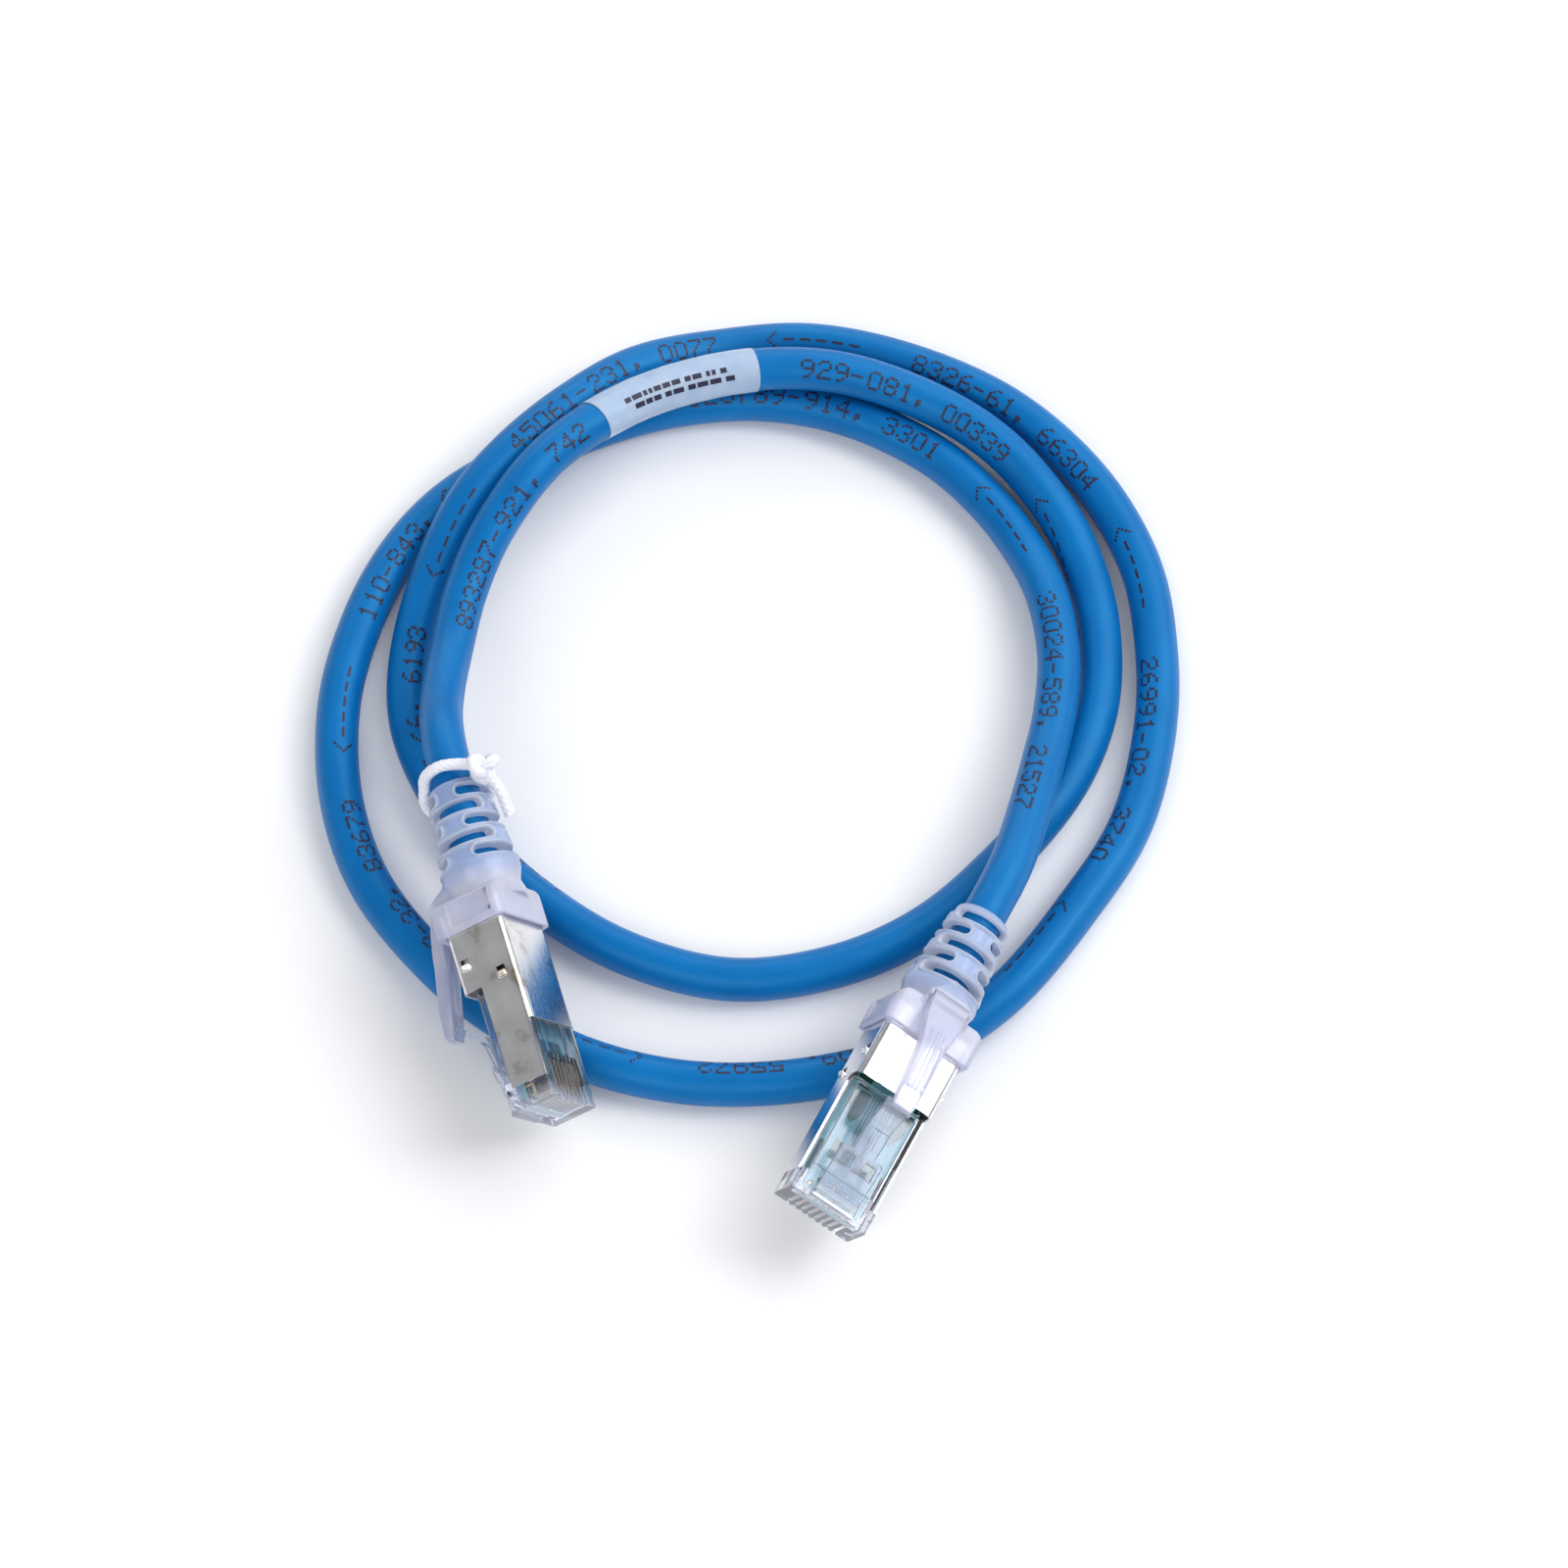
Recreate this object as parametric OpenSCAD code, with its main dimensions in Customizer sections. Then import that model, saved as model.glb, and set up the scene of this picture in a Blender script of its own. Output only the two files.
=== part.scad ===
// Shielded 8P8C patch cord, wound in three loose turns and lying on a table.
// World frame: +Z up, z = 0 is the table, the origin is the middle of the coil.
// Plug frame: origin at the middle of the nose face, +X out of the nose,
// +Y across the contacts, +Z towards the locking latch.

/* [Cable] */
// Outside diameter of the jacket
cable_od = 5.8; // [5.6:0.1:5.9]
// Sides of the swept jacket
cable_sides = 12; // [8:2:12]
// Wall of the wrap-around label
label_wall = 0.08; // [0.05:0.01:0.1]
// Diameter of one insulated conductor
conductor_d = 0.95; // [0.8:0.05:0.98]

/* [Plug] */
// Width of the nose
plug_w = 11.68; // [11.6:0.02:11.7]
// Height of the nose
nose_h = 6.6; // [6.5:0.05:6.7]
// Length of the full-width nose in front of the shield
nose_len = 3; // [2.5:0.1:3.5]
// Length of the clear housing
housing_len = 17.2; // [17:0.1:17.3]
// Pitch of the contacts
contact_pitch = 1.02; // [1:0.01:1.04]
// Thickness of the circuit board
board_t = 1; // [0.8:0.1:1.1]

/* [Shield] */
// Sheet thickness
shield_t = 0.3; // [0.25:0.01:0.32]
// Running gap between nested pieces
gap = 0.05; // [0.03:0.01:0.06]
// Height of the latch side of the shield
shield_top = 4.9; // [4.8:0.05:5]
// Distance of the shield's front edge from the nose, latch side
shield_front = 17.4; // [17.3:0.1:17.8]
// Distance of the shield's front edge from the nose, contact side
shield_contact_front = 11; // [10:0.1:12]
// Height of the top edge of the side wings
wing_top = 1.9; // [1.6:0.1:2.2]

/* [Boot] */
// Distance of the hood's front edge from the nose
hood_front = 25.4; // [25:0.1:25.8]
// Width of the hood
hood_w = 13.2; // [13:0.1:13.6]
// Top of the hood, latch side
hood_top = 6; // [5.8:0.1:6]
// Distance of the boot's cable end from the nose
boot_end = 46.3; // [46:0.1:46.8]
// Radius at the cable end
boot_tip_r = 3.75; // [3.6:0.05:3.9]
// Radius at the hood
boot_base_r = 5.1; // [4.8:0.05:5.2]
// Rows of flex slots
slot_rows = 5; // [3:1:5]
// Sweep of one slot
slot_angle = 136; // [110:2:140]

/* [Latch] */
// Slope of the latch at rest
latch_slope = 11; // [10:0.5:12]
// Width over the shoulders
shoulder_w = 6.1; // [5.8:0.1:6.2]
// Width of the latch stem
stem_w = 3.25; // [3:0.05:3.6]
// Width of the guard arm at its hinge
guard_w = 5.2; // [4.8:0.1:5.2]

/* [Tie] */
// Diameter of the elastic cord
tie_d = 1.5; // [1.3:0.1:1.6]
// Diameter of the knot
knot_d = 4.6; // [4.4:0.1:4.7]

/* [Hidden] */
$fn = 48;

// Where each plug lies: nose position, then roll, pitch and yaw
pose_a = [[-24.5, -64, 11.4], [121, 7, -73]];
pose_b = [[9.5, -78.3, 11.1], [-26, 3, -117.5]];

// Distances behind the nose face, as plug-frame x
jacket_end_x = -34;
conductor_tip_x = -18.5;
manager_x = [-24.5, -19.8];
board_x = [-19.5, -1.2];
board_z = [0.5, 0.5 + board_t];
half_w = plug_w / 2;
half_h = nose_h / 2;
body_half_w = half_w - shield_t - gap;
shield_bottom = -half_h - gap - shield_t;
hood_rear_x = -30.4;
hood_corner = 1.9;
hood_bottom = -4.25;
pocket_x = -28.4;
bore_r = cable_od / 2 + 0.1;

// Pivots, as [x, z] in the plug frame
latch_pivot = [-1.9, 3.85];
latch_pin_r = 0.5;
guard_pivot = [-30.6, 6.7];
guard_pin_r = 0.8;

// Conductor columns, one pair in each, in the cable and in the wire manager
pair_y_cable = [-1.56, -0.52, 0.52, 1.56];
pair_y_plug = [-3.3, -1.1, 1.1, 3.3];
pair_z_cable = 0.55;
conductor_r = conductor_d / 2;
pair_z_plug = [board_z[0] - conductor_r - gap, board_z[1] + conductor_r + gap];

// The free cable: [x, y, lift], from plug b round the coil to plug a. A lift of 0
// lies on the table, and a lift of 1 lies on one turn below.
route = [[34.5, -29.5, 1.72], [37, -21, 1.38], [39.2, -12, 1], [41, -3.5, 0.75],
    [41.7, 5.5, 0.62], [40.5, 15, 0.4], [37.5, 23.5, 0.1], [32.5, 31.5, 0],
    [25, 39, 0], [14, 45, 0], [2, 47.5, 0], [-10, 46.5, 0], [-21, 43, 0],
    [-32, 37.5, 0], [-41, 31, 0], [-47.5, 22.5, 0], [-52, 12, 0], [-54.5, 0, 0],
    [-54, -13, 0], [-50.5, -25, 0], [-44, -35, 0], [-34, -45, 0], [-21, -52.5, 0],
    [-7, -56, 0], [8, -55.5, 0], [22, -51.5, 0], [34, -43, 0], [44, -30, 0],
    [51, -18, 0], [54.5, -4, 0], [55, 9, 0], [53, 22, 0], [46.5, 35, 0],
    [36, 46, 0], [23, 53, 0], [9, 56.5, 0], [-4, 55.2, 0.1], [-15, 50.8, 0.6],
    [-24, 43.5, 1], [-32, 35.5, 1.1], [-38, 27.5, 0.95], [-42.5, 18, 0.4],
    [-45, 8, 0], [-45, -2, 0], [-42, -11, 0], [-36.5, -20, 0], [-28, -29, 0],
    [-16, -37, 0], [-2, -41, 0], [12, -39, 0], [24, -33, 0], [34, -23.5, 0],
    [42, -13, 0], [46.5, -2, 0], [47.5, 9, 0], [46, 19.5, 0], [42, 29, 0.2],
    [34.5, 38.5, 0.42], [25, 45, 0.58], [13, 48.5, 0.95], [1, 48.5, 1.1],
    [-11, 45, 1.25], [-20.5, 39, 1.5], [-28, 31.5, 1.65], [-34, 22.5, 1.4],
    [-37.5, 14, 1.1], [-39.3, 5, 1.1], [-40.2, -4, 1.6], [-39.8, -11.5, 2.2]];
// The label covers the free cable between these two entries of the route
label_span = [60, 62];
label_gap = 0.05;

// ---- sweeping ----
function turn_x(p, a) = [p.x, p.y * cos(a) - p.z * sin(a), p.y * sin(a) + p.z * cos(a)];
function turn_y(p, a) = [p.x * cos(a) + p.z * sin(a), p.y, p.z * cos(a) - p.x * sin(a)];
function turn_z(p, a) = [p.x * cos(a) - p.y * sin(a), p.x * sin(a) + p.y * cos(a), p.z];
function placed(pose, p) = pose[0]
    + turn_z(turn_y(turn_x(p, pose[1].x), pose[1].y), pose[1].z);
function lifted(p) = [p.x, p.y, cable_od * (0.5 + p.z)];
function unit(v) = v / norm(v);

path = concat(
    [for (x = [jacket_end_x, -(boot_end - 6), -boot_end]) placed(pose_b, [x, 0, 0])],
    [for (p = route) lifted(p)],
    [for (x = [-boot_end, -(boot_end - 6), jacket_end_x]) placed(pose_a, [x, 0, 0])]);
axis_points = 3;

function heading(pts, i) = unit(pts[min(i + 1, len(pts) - 1)] - pts[max(i - 1, 0)]);
function ring(pts, i, r, sides, above) =
    let (t = heading(pts, i), side = unit(cross(t, above)), up = cross(side, t))
    [for (k = [0 : sides - 1])
        pts[i] + r * (cos(360 * k / sides) * up + sin(360 * k / sides) * side)];
function side_faces(rings, sides, start) =
    [for (i = [0 : rings - 2], k = [0 : sides - 1])
        let (a = start + i * sides + k, b = start + i * sides + (k + 1) % sides)
        [a, a + sides, b + sides, b]];

// above is a direction that the line never runs along
module tube(pts, r, sides, above = [0, 0, 1]) {
    last = (len(pts) - 1) * sides;
    polyhedron(
        points = [for (i = [0 : len(pts) - 1], p = ring(pts, i, r, sides, above)) p],
        faces = concat([[for (k = [0 : sides - 1]) k]],
            side_faces(len(pts), sides, 0),
            [[for (k = [sides - 1 : -1 : 0]) last + k]]));
}

module sleeve(pts, inner_r, outer_r, sides) {
    n = len(pts);
    inner = n * sides;
    last = (n - 1) * sides;
    polyhedron(
        points = [for (r = [outer_r, inner_r], i = [0 : n - 1],
            p = ring(pts, i, r, sides, [0, 0, 1])) p],
        faces = concat(side_faces(n, sides, 0),
            [for (f = side_faces(n, sides, inner)) [f[3], f[2], f[1], f[0]]],
            [for (k = [0 : sides - 1]) let (j = (k + 1) % sides)
                [k, j, inner + j, inner + k]],
            [for (k = [0 : sides - 1]) let (j = (k + 1) % sides)
                [last + j, last + k, inner + last + k, inner + last + j]]));
}

// ---- drawing helpers, in the plug frame ----
module place(pose) translate(pose[0]) rotate(pose[1]) children();
module bar(x, y, z) translate([x[0], y[0], z[0]])
    cube([x[1] - x[0], y[1] - y[0], z[1] - z[0]]);
module along_x(x) translate([x[0], 0, 0]) rotate([90, 0, 90])
    linear_extrude(x[1] - x[0]) children();
module along_y(width) rotate([90, 0, 0]) linear_extrude(width, center = true) children();
module pin_y(pivot, r, width) translate([pivot.x, 0, pivot.y]) rotate([90, 0, 0])
    cylinder(r = r, h = width, center = true);
module pipe_x(x, r) translate([x[0], 0, 0]) rotate([0, 90, 0]) cylinder(r = r, h = x[1] - x[0]);
function arc(c, r, from, to) =
    [for (i = [0 : 6]) let (a = from + (to - from) * i / 6) c + r * [cos(a), sin(a)]];
module round_box(y, z, r) polygon(concat(
    arc([y[1] - r, z[1] - r], r, 0, 90), arc([y[0] + r, z[1] - r], r, 90, 180),
    arc([y[0] + r, z[0] + r], r, 180, 270), arc([y[1] - r, z[0] + r], r, 270, 360)));

// ---- plug pieces ----
slot_w = 0.5;
slot_rear_x = -6.5;
contact_t = 0.35;
contact_y = [for (i = [0 : 7]) (i - 3.5) * contact_pitch];
// Contact tails sit in two staggered rows of board holes
tail_x = [-2, -3.1];
tail_r = 0.22;

module plug_housing() color("aliceblue", 0.5) difference() {
    union() {
        along_x([-nose_len, 0]) round_box([-half_w, half_w], [-half_h, half_h], 0.5);
        along_x([-housing_len, 0.1 - nose_len])
            round_box([-body_half_w, body_half_w], [-half_h, half_h], 0.8);
        bar([-2.9, -0.6], [-shoulder_w / 2, shoulder_w / 2], [half_h - 0.1, 3.6]);
        bar([-1.9, -0.6], [-shoulder_w / 2, shoulder_w / 2], [half_h - 0.1, 4.4]);
    }
    pin_y(latch_pivot, latch_pin_r + gap, shoulder_w + 1);
    // pocket under the latch, board slot, contact chamber and contact slots
    bar([-16.6, -4.2], [-4.6, 4.6], [2.4, half_h + 1]);
    bar([-housing_len - 1, board_x[1] + gap], [-4.9, 4.9], [board_z[0] - 0.08, board_z[1] + 0.3]);
    bar([-7, -0.75], [-4.1, 4.1], [-2.2, board_z[0]]);
    for (y = contact_y)
        bar([slot_rear_x, 1], [y - slot_w / 2, y + slot_w / 2], [-half_h - 1, -2.1]);
}

module contacts() color("gold") for (i = [0 : 7]) translate([0, contact_y[i], 0]) {
    tail = tail_x[i % 2];
    along_y(contact_t) polygon([[tail - 0.2, -0.15], [tail - 0.2, -0.5], [-1.35, -0.5],
        [-1.35, -2.45], [-5.6, -2.45], [-5.9, -2], [-6.2, -2.2], [-5.75, -2.8],
        [-1.3, -2.8], [-1, -2.5], [-1, -0.45], [-1.3, -0.15]]);
    translate([tail, 0, -0.3]) cylinder(r = tail_r, h = 0.3 + board_z[1] + 0.15, $fn = 24);
}

module circuit_board() color("seagreen") difference() {
    union() {
        bar([board_x[0], -8], [-4.8, 4.8], board_z);
        bar([-8.1, board_x[1]], [-4.3, 4.3], board_z);
    }
    for (i = [0 : 7]) translate([tail_x[i % 2], contact_y[i], 0])
        cylinder(r = tail_r + gap, h = 5, $fn = 24);
}

module shield_section(inset) round_box(
    [-half_w + inset, half_w - inset], [shield_bottom + inset, shield_top - inset], 1 - inset);
module louver(x, z) for (side = [-1, 1])
    translate([x, side * (half_w + 0.02), z]) cube([1.4, 0.4, 1.3], center = true);

module shield() color("silver") {
    difference() {
        along_x([pocket_x + gap, -nose_len - gap]) shield_section(0);
        along_x([pocket_x - 1, 0]) shield_section(shield_t);
        bar([-shield_front, 0], [-10, 10], [wing_top, 10]);
        bar([-shield_contact_front, 0], [-half_w + 0.6, half_w - 0.6], [-10, 0]);
        bar([-shield_contact_front, 0], [-10, 10], [-10, -3.2]);
    }
    louver(-21, 3.2);
    louver(-18.2, -1.5);
}

module wire_manager() color("whitesmoke") difference() {
    along_x(manager_x) round_box([-4.9, 4.9], [-2.6, 4.1], 0.6);
    for (y = pair_y_plug, z = pair_z_plug)
        translate([0, y, z]) pipe_x([manager_x[0] - 1, manager_x[1] + 1], conductor_r + 0.1);
}

// One twisted pair's two conductors, one landing on each face of the board
module pair(column, tint) color(tint) for (row = [0, 1]) {
    z_cable = (row * 2 - 1) * pair_z_cable;
    start = [pair_y_cable[column], z_cable];
    end = [pair_y_plug[column], pair_z_plug[row]];
    tube([for (s = [[jacket_end_x, 0], [-29.8, 0], [-28.6, 0.2], [-26.4, 0.8], [-25, 1],
                    [conductor_tip_x, 1]])
        [s.x, start.x + (end.x - start.x) * s.y, start.y + (end.y - start.y) * s.y]],
        conductor_r, 8);
}

module ring_x(x, inner, outer) difference() {
    pipe_x(x, outer);
    pipe_x([x[0] - 1, x[1] + 1], inner);
}
module foil_screen() color("lightgray") ring_x([jacket_end_x, -30], 2.3, 2.4);
module braid_collar() color("darkgray") ring_x([jacket_end_x, -30.3], 2.45, 2.9);

slot_pitch = 2.25;
first_slot_x = -35.4;
slot_len = 1.1;
hinge_block = [[-32.2, 4], [-32.2, 6.9], [-30.7, 6.9], [-29.8, 6], [-29.8, 4]];

module boot_tube() rotate([0, 90, 0]) rotate_extrude() polygon(concat(
    [[0, hood_rear_x + 0.5], [0, -boot_end], [boot_tip_r - 0.4, -boot_end]],
    [for (i = [0 : 26])
        let (s = i / 26, x = -boot_end + 0.4 + s * (boot_end - 0.4 - 34),
             swell = 0.22 * cos(360 * (x - first_slot_x) / slot_pitch))
        [boot_tip_r + (boot_base_r - boot_tip_r) * s - swell, x]],
    [[boot_base_r + 0.2, -33], [boot_base_r + 0.2, hood_rear_x + 0.5]]));

module flex_slots() for (row = [0 : slot_rows - 1], half = [0, 180])
    translate([first_slot_x - row * slot_pitch - slot_len / 2, 0, 0]) rotate([0, 90, 0])
        rotate([0, 0, half + (row % 2) * 90 - slot_angle / 2])
            rotate_extrude(angle = slot_angle) translate([2.5, 0]) square([6, slot_len]);

module boot() color("lavender") difference() {
    union() {
        boot_tube();
        intersection() {
            along_x([hood_rear_x, -hood_front])
                round_box([-hood_w / 2, hood_w / 2], [hood_bottom, hood_top], 1.1);
            linear_extrude(20, center = true) polygon(concat(
                [[-hood_front + 1, hood_w / 2], [-hood_front + 1, -hood_w / 2]],
                arc([hood_rear_x + hood_corner, -hood_w / 2 + hood_corner], hood_corner, 270, 180),
                arc([hood_rear_x + hood_corner, hood_w / 2 - hood_corner], hood_corner, 180, 90)));
        }
        intersection() {
            along_y(2 * boot_base_r) polygon(concat([[-35.4, 4]], hinge_block));
            linear_extrude(20) polygon([[-35.5, 0], [-31.5, -3.2], [-29, -3.2],
                [-29, 3.2], [-31.5, 3.2]]);
        }
    }
    pin_y(guard_pivot, guard_pin_r + gap, guard_w + 4 * gap);
    along_x([pocket_x, 0]) round_box([-half_w - 0.1, half_w + 0.1],
        [shield_bottom - 0.1, shield_top + 0.1], 1);
    pipe_x([-boot_end - 1, 0], bore_r);
    flex_slots();
}

module latch_guard() color("lavender") {
    difference() {
        intersection() {
            along_y(2 * guard_w) polygon([[-30.6, 7.45], [-25.3, 9.4], [-18.5, 11],
                [-15, 11.35], [-14.1, 10.9], [-14, 9.95], [-16.5, 9.25], [-22.8, 7.85],
                [-27.5, 6.9], [-30, 6.45]]);
            linear_extrude(20) polygon([[-31, -guard_w / 2], [-28, -guard_w / 2],
                [-24, -1.8], [-15, -1.5], [-13.9, -1.3], [-13.9, 1.3], [-15, 1.5],
                [-24, 1.8], [-28, guard_w / 2], [-31, guard_w / 2]]);
        }
        for (y = [-0.65, 0.65]) translate([0, y, 0]) along_y(0.4)
            polygon([[-26, 8.9], [-18.6, 10.65], [-16.4, 10.9], [-16.4, 12], [-26, 12]]);
    }
    pin_y(guard_pivot, guard_pin_r, guard_w);
}

// The latch lies along its own slope, so -X in here runs back from the pivot
module latch_frame() translate([latch_pivot.x, 0, latch_pivot.y])
    rotate([0, latch_slope, 0]) children();
latch_t = 0.75;

module latch() color("aliceblue") {
    pin_y(latch_pivot, latch_pin_r, shoulder_w);
    latch_frame() difference() {
        union() {
            bar([-6.3, 0], [-shoulder_w / 2, shoulder_w / 2], [-latch_t / 2, latch_t / 2]);
            bar([-11, -6.2], [-stem_w / 2, stem_w / 2], [-latch_t / 2, latch_t / 2]);
        }
        for (side = [-1, 1])
            bar([-5.6, -3.7], [side * 1.65 - 0.9, side * 1.65 + 0.9], [-1, 1]);
    }
    along_y(stem_w) polygon([[-12, 5.42], [-12.8, 5.6], [-15.3, 8.95], [-14.55, 9.4],
        [-12.5, 6.55], [-12, 6.35]]);
}

// ---- cord pieces ----
module cable_jacket() color("royalblue") tube(path, cable_od / 2, cable_sides);
module label() color("lavender") sleeve(
    [for (i = [label_span[0] : label_span[1]]) path[i + axis_points]],
    cable_od / 2 + label_gap, cable_od / 2 + label_gap + label_wall, cable_sides);

// The tie is a slanted loop: it crosses over the bare cable behind the boot at the
// angle loop_top, hangs round the boot's tip on the far side, and both its ends rise
// into the knot. The angles turn about plug a's axis, from +Y towards +Z.
loop_top = -23;
loop_rear_x = -48.3;
loop_slant = 1.2;
loop_r = [3.85, 5.1];
knot_angle = -67;
knot_gap = 30;
knot_reach = 60;
knot_at = placed(pose_a, [-46, 6.4 * cos(knot_angle), 6.4 * sin(knot_angle)]);
tail_end = knot_at + [3.5, -4.8, -4];
function ease(t) = let (u = max(0, min(1, t))) u * u * (3 - 2 * u);
// c is 1 where the loop crosses over the cable
function loop_point(a) =
    let (c = cos(a - loop_top),
         r = loop_r[0] + (loop_r[1] - loop_r[0]) * ease((0.15 - c) / 0.8),
         p = placed(pose_a, [loop_rear_x + loop_slant * pow(1 - c, 2),
             r * cos(a), r * sin(a)]),
         off = abs(a - knot_angle))
    p + 0.75 * ease(1 - min(off, 360 - off) / knot_reach) * (knot_at - p);

module tie_loop() color("white") tube(
    [for (a = [knot_angle + knot_gap : 11 : knot_angle + 360 - knot_gap]) loop_point(a)],
    tie_d / 2, 8, placed(pose_a, [1, 0, 0]) - pose_a[0]);
module tie_knot() color("white") {
    translate(knot_at) sphere(d = knot_d);
    tube([knot_at, tail_end], tie_d / 2, 8);
}

cable_jacket();
label();
tie_loop();
tie_knot();
place(pose_a) plug_housing();  // plug_housing_a
place(pose_a) contacts();  // contacts_a
place(pose_a) circuit_board();  // circuit_board_a
place(pose_a) shield();  // shield_a
place(pose_a) wire_manager();  // wire_manager_a
place(pose_a) pair(0, "orange");  // pair_orange_a
place(pose_a) pair(1, "blue");  // pair_blue_a
place(pose_a) pair(2, "green");  // pair_green_a
place(pose_a) pair(3, "brown");  // pair_brown_a
place(pose_a) foil_screen();  // foil_screen_a
place(pose_a) braid_collar();  // braid_collar_a
place(pose_a) boot();  // boot_a
place(pose_a) latch_guard();  // latch_guard_a
place(pose_a) latch();  // latch_a
place(pose_b) plug_housing();  // plug_housing_b
place(pose_b) contacts();  // contacts_b
place(pose_b) circuit_board();  // circuit_board_b
place(pose_b) shield();  // shield_b
place(pose_b) wire_manager();  // wire_manager_b
place(pose_b) pair(0, "orange");  // pair_orange_b
place(pose_b) pair(1, "blue");  // pair_blue_b
place(pose_b) pair(2, "green");  // pair_green_b
place(pose_b) pair(3, "brown");  // pair_brown_b
place(pose_b) foil_screen();  // foil_screen_b
place(pose_b) braid_collar();  // braid_collar_b
place(pose_b) boot();  // boot_b
place(pose_b) latch_guard();  // latch_guard_b
place(pose_b) latch();  // latch_b
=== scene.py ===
"""Shielded 8P8C patch cord in a loose coil, on a pale studio floor."""
import math
import random

import bpy
import numpy as np
import openvdb
from mathutils import Euler, Matrix, Vector


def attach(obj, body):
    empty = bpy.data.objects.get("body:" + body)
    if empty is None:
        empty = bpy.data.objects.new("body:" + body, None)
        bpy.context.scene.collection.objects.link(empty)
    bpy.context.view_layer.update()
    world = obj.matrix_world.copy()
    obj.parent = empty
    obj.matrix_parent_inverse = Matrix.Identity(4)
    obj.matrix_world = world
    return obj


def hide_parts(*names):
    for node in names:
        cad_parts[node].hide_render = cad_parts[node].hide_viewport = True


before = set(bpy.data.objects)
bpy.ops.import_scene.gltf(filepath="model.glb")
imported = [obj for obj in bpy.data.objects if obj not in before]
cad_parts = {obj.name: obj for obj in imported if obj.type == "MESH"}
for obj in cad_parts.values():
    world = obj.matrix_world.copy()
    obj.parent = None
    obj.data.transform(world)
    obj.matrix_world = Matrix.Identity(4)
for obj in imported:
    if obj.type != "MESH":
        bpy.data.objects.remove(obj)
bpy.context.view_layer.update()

MM = 0.001
ENDS = ("a", "b")

# ---- camera ----
scene = bpy.context.scene
scene.view_settings.view_transform = "Standard"
CAMERA_ELEVATION = math.radians(62)
CAMERA_DISTANCE = 0.9
CAMERA_TARGET = Vector((0.005, -0.0105, 0.0))
CAMERA_LENS = 154.9
camera_data = bpy.data.cameras.new("camera")
camera_data.lens = CAMERA_LENS
camera_data.sensor_width = 36
camera = bpy.data.objects.new("camera", camera_data)
away = Vector((0, -math.cos(CAMERA_ELEVATION), math.sin(CAMERA_ELEVATION)))
camera.location = CAMERA_TARGET + CAMERA_DISTANCE * away
camera.rotation_euler = (math.pi / 2 - CAMERA_ELEVATION, 0, 0)
scene.collection.objects.link(camera)
scene.camera = camera


# ---- poses of the two plugs, as in part.scad ----
def pose_matrix(at, turns):
    turn = Euler([math.radians(t) for t in turns], "XYZ").to_matrix().to_4x4()
    return Matrix.Translation(Vector(at) * MM) @ turn @ Matrix.Scale(MM, 4)


POSES = {
    "a": pose_matrix((-24.5, -64, 11.4), (121, 7, -73)),
    "b": pose_matrix((9.5, -78.3, 11.1), (-26, 3, -117.5)),
}


# ---- mesh helpers: shapes are drawn in millimetres ----
def mesh_object(name, verts, faces, smooth=False):
    mesh = bpy.data.meshes.new(name)
    mesh.from_pydata([tuple(v) for v in verts], [], [tuple(f) for f in faces])
    mesh.update()
    obj = bpy.data.objects.new(name, mesh)
    scene.collection.objects.link(obj)
    mesh.polygons.foreach_set("use_smooth", [smooth] * len(mesh.polygons))
    return obj


def bake(obj):
    """Applies the modifiers of an object to its mesh."""
    bpy.context.view_layer.update()
    graph = bpy.context.evaluated_depsgraph_get()
    mesh = bpy.data.meshes.new_from_object(obj.evaluated_get(graph))
    obj.modifiers.clear()
    obj.data = mesh
    return obj


def prism(points, lo, hi, axis):
    """A polygon drawn in the two other axes, pulled along one axis from lo to hi."""
    n = len(points)
    order = {"x": (2, 0, 1), "y": (0, 2, 1), "z": (0, 1, 2)}[axis]
    flat = [(u, v, w) for w in (lo, hi) for u, v in points]
    verts = [tuple(p[i] for i in order) for p in flat]
    faces = [list(range(n)), list(range(2 * n - 1, n - 1, -1))]
    faces += [[(i + 1) % n, i, n + i, n + (i + 1) % n] for i in range(n)]
    obj = mesh_object("prism", verts, faces)
    return outward(obj)


def outward(obj):
    """Turns the faces of a closed mesh outward."""
    mesh = obj.data
    volume = 0.0
    mesh.calc_loop_triangles()
    for t in mesh.loop_triangles:
        a, b, c = (mesh.vertices[i].co for i in t.vertices)
        volume += a.dot(b.cross(c))
    if volume < 0:
        mesh.flip_normals()
    return obj


def block(x, y, z):
    corners = [(x[0], y[0]), (x[1], y[0]), (x[1], y[1]), (x[0], y[1])]
    return prism(corners, z[0], z[1], "z")


def rounded(u, v, r, steps=6):
    """The outline of a rectangle with round corners."""
    corners = [(u[1] - r, v[1] - r, 0), (u[0] + r, v[1] - r, 90)]
    corners += [(u[0] + r, v[0] + r, 180), (u[1] - r, v[0] + r, 270)]
    points = []
    for cu, cv, start in corners:
        for i in range(steps + 1):
            a = math.radians(start + 90 * i / steps)
            points.append((cu + r * math.cos(a), cv + r * math.sin(a)))
    return points


def rod(centre, r, lo, hi, axis, sides=32):
    points = []
    for i in range(sides):
        a = 2 * math.pi * i / sides
        points.append((centre[0] + r * math.cos(a), centre[1] + r * math.sin(a)))
    return prism(points, lo, hi, axis)


def combine(base, others, operation):
    for other in others:
        mod = base.modifiers.new("combine", "BOOLEAN")
        mod.operation = operation
        mod.solver = "EXACT"
        mod.object = other
        bake(base)
        bpy.data.objects.remove(other)
    return base


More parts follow.
